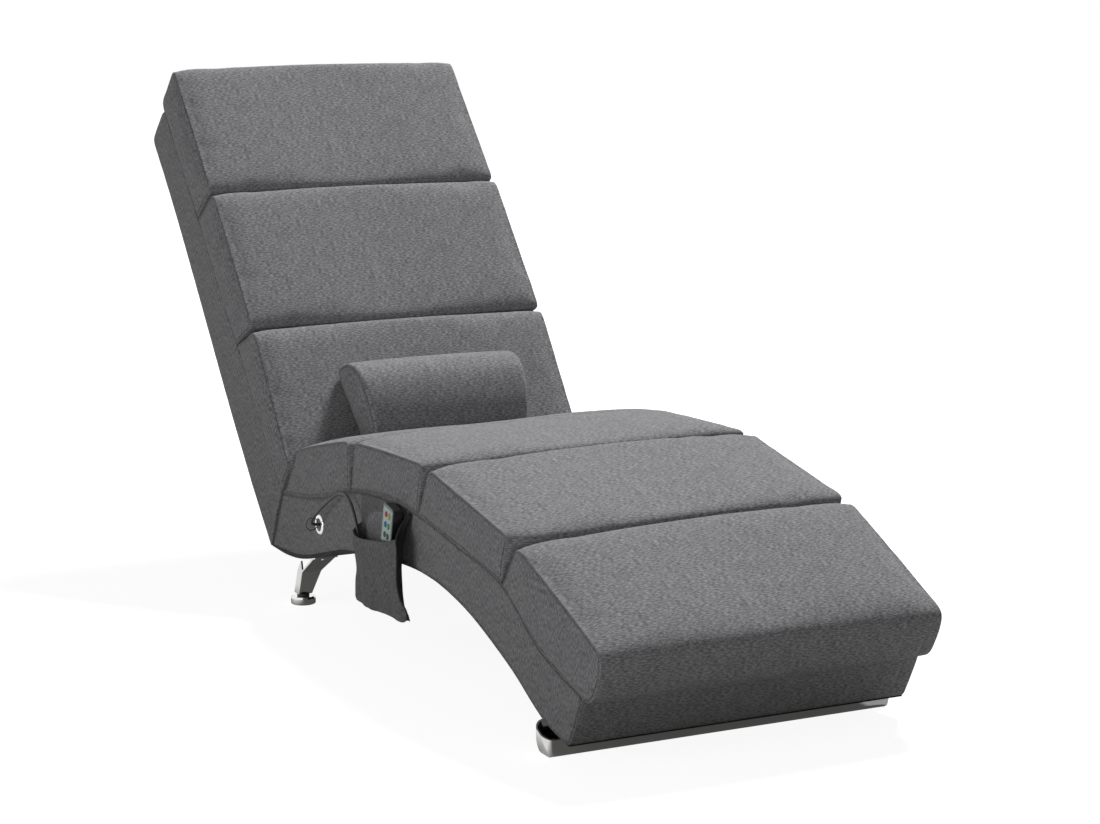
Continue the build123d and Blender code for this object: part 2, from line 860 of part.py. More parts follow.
def leg_plate():
    """The leg's front plate, wider towards the top, bent at the knee."""
    top_height = under_at(leg_top_place)[0]
    rows = [
        (leg_foot_place, leg_foot_height, leg_foot_width),
        (leg_bend_place, leg_bend_height, leg_bend_width),
        (leg_top_place, top_height, leg_top_width),
    ]
    lower_lean = (leg_bend_place - leg_foot_place) / (leg_bend_height - leg_foot_height)
    side = polygon([
        spot(rows[0][0], rows[0][1]),
        spot(rows[1][0], rows[1][1]),
        spot(rows[2][0], rows[2][1]),
        spot(rows[2][0] + leg_sheet, rows[2][1] + leg_sheet),
        spot(rows[1][0] + leg_sheet, rows[1][1] + leg_sheet / 2),
        spot(rows[0][0] + leg_sheet, rows[0][1]),
    ])
    plate = across(side, -leg_outer, -leg_outer + leg_top_width)
    edge = [(-leg_outer, row[1]) for row in (rows[0], rows[2])]
    outline = [
        (edge[0][0], rows[0][1]), (edge[0][0] + rows[0][2], rows[0][1]),
        (edge[0][0] + rows[1][2], rows[1][1]), (edge[0][0] + rows[2][2], rows[2][1] + leg_sheet),
        (edge[0][0], rows[2][1] + leg_sheet),
    ]
    front_view = make_face(Polyline(*outline, close=True))
    mask = extrude(Plane.XZ * front_view, amount=overall_length, both=True)
    heel = leg_foot_place + leg_cheek_depth
    cheek = polygon([
        spot(leg_foot_place, leg_foot_height),
        spot(heel, leg_foot_height),
        spot(heel + lower_lean * (leg_bend_height - leg_foot_height), leg_bend_height),
        spot(heel + 2 * lower_lean * (leg_bend_height - leg_foot_height), leg_cheek_height),
        spot(leg_bend_place, leg_bend_height),
    ])
    near = across(cheek, -leg_outer, -leg_outer + leg_sheet)
    far_x = -leg_outer + leg_foot_width - leg_sheet
    far = across(cheek, far_x, far_x + leg_sheet)
    leg = (plate & mask) + near + far
    floor = polygon([
        spot(leg_foot_place, leg_foot_height), spot(heel, leg_foot_height),
        spot(heel, leg_foot_height + leg_sheet), spot(leg_foot_place, leg_foot_height + leg_sheet),
    ])
    leg = leg + across(floor, -leg_outer, -leg_outer + leg_foot_width)
    flange = under_band(-leg_sheet - fit_gap, -fit_gap)
    flange = flange & upright(leg_top_place, leg_top_place + leg_flange_length)
    leg = leg + across(flange, -leg_outer, -leg_outer + leg_top_width)
    leg = leg - across(seat_outline(0, -fit_gap), -half_width, half_width)
    hole = Cylinder(insert_radius + fit_gap / 3, 4 * leg_sheet)
    leg = leg - Pos(foot_centre[0], foot_centre[1], leg_foot_height) * hole
    return cut(leg, screws(leg_screw_frames, screw_play))


insert_radius = stud_diameter / 2 + insert_wall
insert_collar_height = leg_foot_height - foot_height - 2 * fit_gap


def foot_insert():
    """The black threaded insert pressed into the leg's foot."""
    barrel = Cylinder(insert_radius, insert_length, align=upward)
    collar = Cylinder(leg_cheek_depth / 2, insert_collar_height, align=downward)
    bore = Cylinder(stud_diameter / 2 + stud_play, 2 * insert_length + overrun)
    shape = barrel + collar - bore
    return Pos(foot_centre[0], foot_centre[1], leg_foot_height - fit_gap / 3) * shape


def levelling_foot():
    """The chrome pad on its stud."""
    pad = Cylinder(foot_diameter / 2, foot_height, align=upward)
    pad = chamfer(pad.edges().group_by(Axis.Z)[-1], foot_edge)
    pad = chamfer(pad.edges().group_by(Axis.Z)[0], foot_edge / 3)
    stud = Pos(0, 0, foot_height) * Cylinder(stud_diameter / 2, stud_length, align=upward)
    return Pos(foot_centre[0], foot_centre[1], 0) * (pad + stud)


# Grommet and tie loop
def cord_grommet():
    """The chrome ring, its flange on the cover and its barrel through the side panel."""
    length = cover_pad + side_ply + fit_gap
    barrel = Pos(0, 0, fit_gap) * Cylinder(barrel_outer, length, align=downward)
    flange = Cylinder(grommet_outer / 2, grommet_flange, align=upward)
    flange = chamfer(flange.edges().group_by(Axis.Z)[-1], grommet_flange / 2)
    ring = Pos(0, 0, fit_gap / 3) * flange + barrel
    bore = Cylinder(grommet_hole / 2, 3 * (cover_pad + side_ply))
    return grommet_out * (ring - bore)


# Control box on the inside of the right side panel
box_face = -rail_half


def box_body():
    """The control box, open towards the middle, with its cord socket in the grommet."""
    body = Box(box_depth - box_lid, box_length, box_height, align=sideways)
    inside = Box(box_depth, box_length - 2 * box_wall, box_height - 2 * box_wall, align=sideways)
    inside = Pos(box_wall, 0, 0) * inside
    socket = Rot(0, -90, 0) * Cylinder(box_socket / 2, box_socket_length, align=upward)
    return Pos(box_face, grommet_y, grommet_z) * (body - inside + socket)


def box_cover():
    """The control box's lid."""
    lid = Box(box_lid - fit_gap / 3, box_length, box_height, align=(Align.MAX, Align.CENTER, Align.CENTER))
    return Pos(box_face + box_depth, grommet_y, grommet_z) * lid


def box_board():
    """The control box's circuit board with two relays."""
    length = box_length - 2 * box_wall - board_inset
    height = box_height - 2 * box_wall - board_inset
    board = Box(circuit_board, length, height, align=sideways)
    for side in (-1, 1):
        relay = Box(chip_height, length / 4, height / 3, align=sideways)
        board = board + Pos(circuit_board, side * length / 4, 0) * relay
    return Pos(box_face + box_wall + fit_gap, grommet_y, grommet_z) * board


# Handset
handset_up = Vector(
    sin(radians(handset_lean_in)),
    -sin(radians(handset_lean_fore)),
    cos(radians(handset_lean_in)) * cos(radians(handset_lean_fore)),
).normalized()
turned = Vector(-cos(radians(handset_turn)), sin(radians(handset_turn)), 0)
handset_out = (turned - handset_up * turned.dot(handset_up)).normalized()
handset_y, handset_z = spot(handset_top_place, handset_top_height)
handset_top = Vector(-half_width - handset_stand_off, handset_y, handset_z)
handset_middle = handset_top - handset_up * (handset_length / 2)
handset_frame = Plane(origin=handset_middle, x_dir=handset_up.cross(handset_out), z_dir=handset_out)
front_face = handset_depth / 2
key_places = [
    ((column - 1 / 2) * key_column, handset_length * key_top_row_share - row * key_row)
    for row in range(3)
    for column in range(2)
]
key_names = ["power", "heat", "mode", "speed", "upper", "lower"]


def handset_block(low, high, inset=0):
    """A rounded slab of the handset between two depths."""
    sketch = RectangleRounded(handset_width - 2 * inset, handset_length - 2 * inset, handset_corner - inset)
    return Pos(0, 0, low) * extrude(sketch, amount=high - low)


def key_bores():
    """The holes for the keys."""
    bore = Cylinder(key_diameter / 2 + key_play, handset_length)
    return [Pos(x, y, 0) * bore for x, y in key_places]


def handset_front():
    """The handset's front shell with its key holes and label recess."""
    shell = handset_block(handset_split + fit_gap / 3, front_face)
    shell = chamfer(shell.edges().group_by(Axis.Z)[-1], label_film * 3)
    shell = shell - handset_block(0, front_face - handset_wall, handset_wall)
    recess = handset_block(front_face - label_film, front_face + overrun, label_margin)
    return cut(shell - recess, key_bores())


def handset_back():
    """The handset's back shell with the board's ledges and the cord's exit."""
    shell = handset_block(-front_face, handset_split)
    shell = chamfer(shell.edges().group_by(Axis.Z)[0], handset_wall)
    shell = shell - handset_block(-front_face + handset_wall, front_face, handset_wall)
    ledge_height = front_face - handset_wall - circuit_board
    for end in (-1, 1):
        ledge = Box(handset_width - 2 * handset_wall, handset_corner, ledge_height, align=upward)
        edge_y = end * (handset_length / 2 - handset_wall - handset_corner / 2)
        shell = shell + Pos(0, edge_y, -front_face + handset_wall) * ledge
    return shell & handset_block(-front_face, handset_split)


board_low = -circuit_board + fit_gap
board_high = board_low + circuit_board


def handset_board():
    """The handset's circuit board."""
    inset = handset_wall + fit_gap
    return handset_block(board_low, board_high, inset)


def handset_label():
    """The printed film on the front, with holes for the keys."""
    film = handset_block(front_face - label_film + fit_gap / 10, front_face, label_margin + fit_gap)
    return cut(film, key_bores())


def handset_key(place):
    """One key: a cap through the front, a flange behind it and a stem over its dome."""
    x, y = place
    wall_back = front_face - handset_wall
    cap = Cylinder(key_diameter / 2, front_face + key_rise - wall_back, align=upward)
    cap = chamfer(cap.edges().group_by(Axis.Z)[-1], key_rise / 2)
    flange_low = wall_back - fit_gap / 3 - key_flange_height
    flange = Cylinder(key_diameter / 2 + key_flange, key_flange_height, align=upward)
    stem_low = board_high + key_travel + fit_gap
    stem = Cylinder(key_diameter / 4, wall_back - stem_low, align=upward)
    neck = Cylinder(key_diameter / 2, wall_back - flange_low, align=upward)
    key = Pos(0, 0, wall_back) * cap + Pos(0, 0, flange_low) * (flange + neck) + Pos(0, 0, stem_low) * stem
    return Pos(x, y, 0) * key


def strain_relief():
    """The tapered relief of the cord under the handset."""
    taper = Cone(relief_narrow / 2, relief_wide / 2, relief_length, align=upward)
    return Pos(0, -handset_length / 2 - relief_length, 0) * Rot(-90, 0, 0) * taper


# Handset cord
cord_end = handset_middle - handset_up * (handset_length / 2 + relief_length)
cord_points = [Vector(x, place - middle, height) for x, place, height in cord_route]
cord_points = cord_points + [cord_end - handset_up * cord_end_run, cord_end]


def cord_radii():
    """The radius at each corner of the cord's route, as large as its two runs allow."""
    radii = []
    for before, corner, after in zip(cord_points, cord_points[1:], cord_points[2:]):
        first = corner - before
        second = after - corner
        half_turn = radians(first.get_angle(second)) / 2
        radii.append(cord_bend_share * min(first.length, second.length) / tan(half_turn))
    return radii


def tie_ring():
    """The thin nylon loop that hangs on the cord where it leaves the grommet."""
    path = FilletPolyline(*cord_points, radius=cord_radii())
    point = path @ tie_place_share
    heading = path % tie_place_share
    level = hypot(heading.X, heading.Y)
    drop = tie_loop / 2 - tie_wire / 2 - cord_diameter / 2 / level - fit_gap
    frame = Plane(origin=(point.X, point.Y, point.Z - drop), z_dir=(heading.X / level, heading.Y / level, 0))
    section = Plane.XZ * (Pos(tie_loop / 2, 0) * RegularPolygon(tie_wire / 2, cord_sides))
    return frame * revolve(section, Axis.Z)


def handset_cord():
    """The cord from the control box's socket, over the base's side, to the handset."""
    path = FilletPolyline(*cord_points, radius=cord_radii())
    start = Plane(origin=path @ 0, z_dir=path % 0)
    section = RegularPolygon(cord_diameter / 2, cord_sides)
    tube = sweep(start * section, path=path)
    expected = section.area * path.length
    print("cord length", round(path.length, 1), "volume over section times length", tube.volume / expected)
    print("cord radii", [round(radius, 1) for radius in cord_radii()])
    return tube


# Remote pocket
def pocket_slice(level, share, wall):
    """One level slice of the pocket, inset by a wall, the back on the seat's side."""
    back = -half_width - fit_gap - wall
    start = pocket_start - middle + wall
    end = pocket_end - middle - wall
    front = -half_width - pocket_reach * share + wall
    far = -half_width - pocket_far_reach * share + wall
    through = (mix((front, 0), (far, 0), pocket_belly_share)[0], (start + end) / 2)
    face = make_face([
        Line((back, start), (front, start)),
        ThreePointArc((front, start), through, (far, end)),
        Line((far, end), (back, end)),
        Line((back, end), (back, start)),
    ])
    return Pos(0, 0, level) * face


def pocket_bag(wall, floor, top):
    """The pocket's filled volume, inset by a wall."""
    levels = list(zip(pocket_levels, pocket_reach_shares))
    faces = []
    for number, (level, share) in enumerate(levels):
        height = level + (floor if number == 0 else 0) + (top if number == len(levels) - 1 else 0)
        faces.append(pocket_slice(height, share, wall))
    return loft(faces, ruled=True)


def remote_pocket():
    """The cloth pocket: a bag with a bulged front, its back panel and gusset up to the seam."""
    bag = pocket_bag(0, 0, 0) - pocket_bag(pocket_cloth, pocket_floor, overrun)
    lip = polygon([
        spot(pocket_start - overrun, pocket_lip_start_height),
        spot(pocket_end + overrun, pocket_lip_end_height),
        spot(pocket_end + overrun, overall_length),
        spot(pocket_start - overrun, overall_length),
    ])
    bag = bag - across(lip, -half_width - 2 * pocket_reach, -half_width)
    panel = polygon([
        spot(pocket_start, pocket_levels[1]), spot(pocket_end, pocket_levels[1]),
        spot(pocket_end, pocket_lip_end_height), spot(pocket_seam_end, pocket_seam_height),
        spot(pocket_start, pocket_seam_height),
    ])
    bag = bag + across(panel, -half_width - fit_gap - pocket_cloth, -half_width - fit_gap)
    gusset = make_face(Polyline(*gusset_outline(0), close=True))
    start = pocket_start - middle
    return bag + extrude(Plane.XZ.offset(-start) * gusset, amount=-pocket_cloth)


def gusset_outline(inset):
    """The pocket's foot-end wall, seen from the foot end, with its free edge inset."""
    back = -half_width - fit_gap
    reaches = [pocket_reach * share - inset for share in pocket_reach_shares]
    low = [(-half_width - reach, level) for reach, level in zip(reaches[1:3], pocket_levels[1:3])]
    lip = (-half_width - reaches[3], pocket_lip_start_height)
    seam = (back - pocket_cloth, pocket_seam_height - inset * 2)
    return [(back, pocket_levels[1]), *low, lip, seam, (back, pocket_seam_height - inset * 2)]


def pocket_binding():
    """The black piping along the free edge of the pocket's foot-end wall."""
    outer = make_face(Polyline(*gusset_outline(0), close=True))
    inner = make_face(Polyline(*gusset_outline(binding_width), close=True))
    start = pocket_start - middle - fit_gap / 3
    band = extrude(Plane.XZ.offset(-start) * (outer - inner), amount=binding_thickness)
    return band.solids().sort_by(SortBy.VOLUME)[-1]


# Bolster
bolster_bed = back_tops(0)
bolster_far = toward(bolster_bed[0], bolster_bed[1], 1)
bolster_up = (bolster_far[0] - bolster_bed[0][0], bolster_far[1] - bolster_bed[0][1])
bolster_rise = back_cushion_depth * back_crown_shares[0] - groove_gap + fit_gap


def bolster_spot(up, out):
    """A side view point of the bolster, from the lower back cushion's foot up it and out of its crest."""
    along = bolster_up[0] * up - bolster_up[1] * (out + bolster_rise)
    rise = bolster_up[1] * up + bolster_up[0] * (out + bolster_rise)
    return moved_by(bolster_bed[0], along, rise)


def bolster_slice(edge):
    """One slice of the bolster: flat against the back cushion, round towards the sitter."""
    draw = bolster_end_draw * edge
    low = bolster_foot + draw
    high = bolster_foot + bolster_height - draw
    low_back = bolster_spot(low, draw / 2)
    high_back = bolster_spot(high, draw / 2)
    low_front = bolster_spot(low, bolster_depth - draw)
    high_front = bolster_spot(high, bolster_depth - draw)
    roll = bolster_roll
    small = bolster_roll / 2
    front_low = toward(low_front, high_front, 2 * roll)
    front_high = toward(high_front, low_front, 2 * roll)
    low_side = toward(low_front, low_back, roll)
    high_side = toward(high_front, high_back, roll)
    low_side_back = toward(low_back, low_front, small)
    high_side_back = toward(high_back, high_front, small)
    back_low = toward(low_back, high_back, small)
    back_high = toward(high_back, low_back, small)
    bulge = mix(front_low, front_high, 1 / 2)
    bulge = moved_by(bulge, -inward[0] * bolster_end_draw / 2, -inward[1] * bolster_end_draw / 2)
    return make_face([
        Line(back_low, back_high),
        corner_arc(back_high, high_back, high_side_back),
        Line(high_side_back, high_side),
        corner_arc(high_side, high_front, front_high),
        ThreePointArc(front_high, bulge, front_low),
        corner_arc(front_low, low_front, low_side),
        Line(low_side, low_side_back),
        corner_arc(low_side_back, low_back, back_low),
    ])


def save(name, shape):
    """Write one sub-part, a single solid or a group of solids, to its own file."""
    solids = []
    for item in shape if isinstance(shape, list) else [shape]:
        solids.extend(item.solids())
    whole = solids[0] if len(solids) == 1 else Compound(children=solids)
    whole.label = name
    export_step(whole, f"parts/{name}.step")


def save_pair(name, right_part):
    """Write a right-hand sub-part and its mirrored left-hand one."""
    save(f"{name}_right", right_part)
    save(f"{name}_left", mirrored(right_part))


def main():
    """Build every sub-part and write it."""
    os.makedirs("parts", exist_ok=True)

    # Seat frame and covers
    save("seat_side_panel_right", seat_side_panel() - grommet_bore)
    save("seat_side_panel_left", mirrored(seat_side_panel()))
    save("seat_cross_rails", seat_cross_rails())
    save("seat_deck", seat_deck())
    save("seat_side_cover_right", seat_side_cover() - grommet_bore)
    save("seat_side_cover_left", mirrored(seat_side_cover()))
    save("seat_front_cover", seat_end_cover(seat_joints[0], seat_under_spots[0], cover_pad))
    save("seat_rear_cover", cut(seat_end_cover(rear_top, rear_tip, -cover_pad), bolt_bores()))
    save("seat_dust_cover", dust_cover())

    # Back frame and cover
    save_pair("back_side_panel", back_side_panel())
    save("back_cross_rails", back_cross_rails())
    save("back_board", back_board())
    save("back_cover", back_cover())
    save("back_bolts", hexagon_bolts())

    # Cushions, each with room for its massage pod
    cavities = {name: frame * pod_cavity() for name, frame in pod_frames.items()}
    save("seat_cushion_foot", across_slices(lip_slice, half_width))
    save("seat_cushion_calf", seat_cushion(1) - cavities["calf"])
    save("seat_cushion_thigh", seat_cushion(2) - cavities["thigh"])
    save("seat_cushion_hip", seat_cushion(3))
    save("back_cushion_lower", back_cushion(0) - cavities["lumbar"])
    save("back_cushion_middle", back_cushion(1) - cavities["shoulder"])
    save("back_cushion_upper", back_cushion(2))
    save("bolster", across_slices(bolster_slice, bolster_length / 2))

    # Massage pods
    save("massage_pod_bases", at_pods(pod_base()))
    save("massage_pod_cases", at_pods(pod_case()))
    save("massage_motors", at_pods(pod_motor()))
    for name, frame in pod_frames.items():
        save(f"eccentric_weight_{name}", frame * eccentric_weights())

    # Chrome bar, legs and feet
    save("front_bar", front_bar())
    save_pair("front_bar_end_cap", bar_end_cap())
    save("front_bar_screws", screws(bar_screw_frames))
    save_pair("rear_leg", leg_plate())
    save("leg_screws", screws(leg_screw_frames))
    save("foot_inserts", [foot_insert(), mirrored(foot_insert())])
    save_pair("levelling_foot", levelling_foot())

    # Grommet, control box and cord
    save("cord_grommet", cord_grommet())
    save("tie_loop", tie_ring())
    save("control_box", box_body())
    save("control_box_lid", box_cover())
    save("control_board", box_board())
    save("handset_cord", handset_cord())

    # Handset
    save("handset_front_shell", handset_frame * handset_front())
    save("handset_back_shell", handset_frame * handset_back())
    save("handset_board", handset_frame * handset_board())
    save("handset_label", handset_frame * handset_label())
    save("handset_strain_relief", handset_frame * strain_relief())
    for name, place in zip(key_names, key_places):
        save(f"key_{name}", handset_frame * handset_key(place))

    # Remote pocket
    save("remote_pocket", remote_pocket())
    save("pocket_binding", pocket_binding())


if __name__ == "__main__":
    main()
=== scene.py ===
"""Dresses the massage recliner: sewn cushions and covers, chrome, handset, cord, camera and light.

Metres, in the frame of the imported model: X runs across the seat, -Y is the foot end, +Z is up.
A side view point is (place, height), with its place measured back from the foot end.
"""

import json
import logging
import math
from dataclasses import dataclass
from enum import Enum, IntEnum
from typing import Callable, Sequence

import bmesh
import bpy
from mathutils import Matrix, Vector, noise

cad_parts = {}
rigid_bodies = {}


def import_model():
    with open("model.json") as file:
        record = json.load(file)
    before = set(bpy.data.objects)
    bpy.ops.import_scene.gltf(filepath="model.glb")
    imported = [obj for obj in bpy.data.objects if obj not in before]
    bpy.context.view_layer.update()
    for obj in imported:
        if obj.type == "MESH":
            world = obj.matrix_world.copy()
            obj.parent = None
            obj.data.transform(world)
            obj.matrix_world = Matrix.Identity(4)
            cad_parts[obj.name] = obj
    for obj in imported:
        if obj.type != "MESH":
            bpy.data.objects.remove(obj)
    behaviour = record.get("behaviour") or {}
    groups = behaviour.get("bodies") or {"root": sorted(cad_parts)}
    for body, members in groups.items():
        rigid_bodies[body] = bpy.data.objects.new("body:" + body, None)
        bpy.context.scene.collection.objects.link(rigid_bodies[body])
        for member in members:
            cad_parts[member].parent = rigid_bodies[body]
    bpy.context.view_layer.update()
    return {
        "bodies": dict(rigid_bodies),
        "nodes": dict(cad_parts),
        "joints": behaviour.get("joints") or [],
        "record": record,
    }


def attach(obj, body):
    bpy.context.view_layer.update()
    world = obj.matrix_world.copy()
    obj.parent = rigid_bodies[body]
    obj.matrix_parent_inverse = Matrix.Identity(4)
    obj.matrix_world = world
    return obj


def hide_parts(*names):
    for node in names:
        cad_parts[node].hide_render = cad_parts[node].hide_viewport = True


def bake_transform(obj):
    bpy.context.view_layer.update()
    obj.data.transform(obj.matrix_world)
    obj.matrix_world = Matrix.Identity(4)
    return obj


Point = tuple[float, ...]
Line = Sequence[Point]
Pair = tuple[float, float]
Three = tuple[float, float, float]
Four = tuple[float, float, float, float]
Colour = Three
Piece = bpy.types.Object
Socket = bpy.types.NodeSocket

LOG = logging.getLogger("recliner")
MIDDLE = 0.8925
SEAT_HALF_WIDTH = 0.2755
BACK_HALF_WIDTH = 0.2775
DECK = (
    (0.0620, 0.1100), (0.1921, 0.1459), (0.3149, 0.2141), (0.4548, 0.2379), (0.6080, 0.2591),
    (0.7345, 0.2620), (0.8707, 0.2460), (1.0105, 0.2080), (1.1625, 0.1871),
)
UNDERSIDE = (
    (0.1034, 0.0301), (0.1836, 0.0479), (0.2979, 0.1019), (0.4560, 0.1541), (0.6226, 0.1711),
    (0.8621, 0.1449), (1.0798, 0.0909), (1.2160, 0.0841),
)


def spot(across: float, point: Point) -> Vector:
    """A point of the frame from its distance across and its side view point."""
    return Vector((across, point[0] - MIDDLE, point[1]))


def mix(first: Point, second: Point, share: float) -> Point:
    """The point a share of the way from the first point to the second."""
    return tuple(start + (end - start) * share for start, end in zip(first, second))


def span(first: Point, second: Point) -> float:
    """The distance between two points."""
    return math.dist(first, second)


def line_length(line: Line) -> float:
    """The length of a line through its points."""
    return sum(span(first, second) for first, second in zip(line, line[1:]))


def bowed(first: Point, second: Point, bow: float, flat: float = 2.4, steps: int = 24) -> list[Point]:
    """A line between two points that stands out to its left by bow at its middle.

    Args:
        first: where the line starts.
        second: where it ends.
        bow: how far its middle stands out, negative for a hollow line.
        flat: how flat its middle is, from 2 upward.
        steps: how many parts it has.

    Returns:
        The points of the line, both ends included.
    """
    length = span(first, second)
    left = (-(second[1] - first[1]) / length, (second[0] - first[0]) / length)
    points = []
    for number in range(steps + 1):
        share = number / steps
        out = bow * (1 - abs(2 * share - 1) ** flat)
        point = mix(first, second, share)
        points.append((point[0] + left[0] * out, point[1] + left[1] * out))
    return points


def flowing(points: Line, steps: int = 8) -> list[Point]:
    """A smooth line that passes through every point.

    Args:
        points: the points, in order.
        steps: how many parts the line has between two of them.

    Returns:
        The points of the line, both ends included.
    """
    padded = [points[0], *points, points[-1]]
    line = [points[0]]
    for before, start, end, after in zip(padded, padded[1:], padded[2:], padded[3:]):
        for number in range(1, steps + 1):
            t = number / steps
            weights = (
                -0.5 * t + t**2 - 0.5 * t**3,
                1 - 2.5 * t**2 + 1.5 * t**3,
                0.5 * t + 2 * t**2 - 1.5 * t**3,
                -0.5 * t**2 + 0.5 * t**3,
            )
            four = zip(before, start, end, after)
            line.append(tuple(sum(w * part for w, part in zip(weights, parts)) for parts in four))
    return line


def along(line: Line, distance: float) -> Point:
    """Finds the point at a distance along a line.

    Args:
        line: the points of the line.
        distance: how far along it the point lies.

    Returns:
        The point, or the line's end where the line is shorter.
    """
    for first, second in zip(line, line[1:]):
        step = span(first, second)
        if distance <= step and step > 0:
            return mix(first, second, max(distance, 0) / step)
        distance -= step
    return line[-1]


def cut(line: Line, start: float, end: float) -> list[Point]:
    """The part of a line between two distances along it.

    Args:
        line: the points of the line.
        start: the distance where the part starts.
        end: the distance where it ends.

    Returns:
        The points of the part, both ends included.
    """
    inner = []
    walked = 0.0
    for first, second in zip(line, line[1:]):
        walked += span(first, second)
        if start < walked < end:
            inner.append(second)
    return [along(line, start), *inner, along(line, end)]


def spread(line: Line, count: int) -> list[Point]:
    """Evenly spaced points along a line: count parts, both ends included."""
    length = line_length(line)
    return [along(line, length * number / count) for number in range(count)] + [line[-1]]


def eased(points: Line, count: int) -> list[Point]:
    """Evenly spaced points along the smooth line through some points."""
    return spread(flowing(points), count)


def patch(low: Line, high: Line, first: Line, last: Line) -> list[list[Point]]:
    """Fills four lines that meet with rows of points.

    Args:
        low: the first row.
        high: the last row, with as many points.
        first: the first column, from low to high.
        last: the last column, with as many points.

    Returns:
        The rows, from low to high.
    """
    rows = []
    for row in range(len(first)):
        up = row / (len(first) - 1)
        line = []
        for column in range(len(low)):
            over = column / (len(low) - 1)
            across = mix(first[row], last[row], over)
            rise = mix(low[column], high[column], up)
            both = mix(mix(low[0], low[-1], over), mix(high[0], high[-1], over), up)
            line.append(tuple(a + r - b for a, r, b in zip(across, rise, both)))
        rows.append(line)
    return rows


def shown(name: str, data: bpy.types.ID) -> Piece:
    """A new object in the scene that shows some data."""
    piece = bpy.data.objects.new(name, data)
    bpy.context.scene.collection.objects.link(piece)
    return piece


def settled(name: str, net: bmesh.types.BMesh) -> bpy.types.Mesh:
    """Turns a net of faces into mesh data, and frees the net."""
    data = bpy.data.meshes.new(name)
    net.to_mesh(data)
    net.free()
    return data


class Side(IntEnum):
    """The four lines of a section, in the order in which they follow each other."""

    FRONT = 0
    TOP = 1
    REAR = 2
    BOTTOM = 3


@dataclass
class Section:
    """The side outline of a sewn piece at one distance across: four lines that meet at corners.

    Each line starts where the one before it ends: front goes up, top goes back, rear goes down and
    bottom comes forward again. The reaches say how round the four corners are, from the corner that
    front starts at. No corner takes up more than a share of a line.
    """

    front: list[Point]
    top: list[Point]
    rear: list[Point]
    bottom: list[Point]
    reaches: Four
    most: float = 0.45
    arc_parts: int = 12

    def sides(self, counts: Sequence[int]) -> list[list[Point]]:
        """Rounds the corners and spaces the points evenly.

        Args:
            counts: how many parts each line gets.

        Returns:
            The four lines.
        """
        lines = [self.front, self.top, self.rear, self.bottom]
        lengths = [line_length(line) for line in lines]
        reaches = [min(self.reaches[n], self.most * lengths[n], self.most * lengths[n - 1]) for n in Side]
        half = self.arc_parts // 2
        rounded = []
        for number, line in enumerate(lines):
            following = (number + 1) % len(lines)
            start, end = reaches[number], reaches[following]
            before = along(lines[number - 1], lengths[number - 1] - start)
            opening = self.arc(before, line[0], along(line, start))
            closing = self.arc(along(line, lengths[number] - end), line[-1], along(lines[following], end))
            body = cut(line, start, lengths[number] - end)
            rounded.append(spread([*opening[half:], *body[1:-1], *closing[: half + 1]], counts[number]))
        return rounded

    def arc(self, start: Point, corner: Point, end: Point) -> list[Point]:
        """A round corner from start to end."""
        shares = [number / self.arc_parts for number in range(self.arc_parts + 1)]
        return [mix(mix(start, corner, share), mix(corner, end, share), share) for share in shares]


def ring_of(sides: Sequence[Line]) -> list[Point]:
    """The closed ring of four lines that meet, with each corner named once."""
    return [point for side in sides for point in side[:-1]]


def drawn_in(ring: Line, amount: float) -> list[Point]:
    """Draws a closed ring in by the same amount all round.

    Args:
        ring: the points of the ring, clockwise.
        amount: how far each point moves in.

    Returns:
        The points of the smaller ring.
    """
    least = 1e-9
    drawn = []
    for number, point in enumerate(ring):
        before = ring[number - 1]
        after = ring[(number + 1) % len(ring)]
        length = max(span(before, after), least)
        inward = ((after[1] - before[1]) / length, -(after[0] - before[0]) / length)
        drawn.append((point[0] + inward[0] * amount, point[1] + inward[1] * amount))
    return drawn


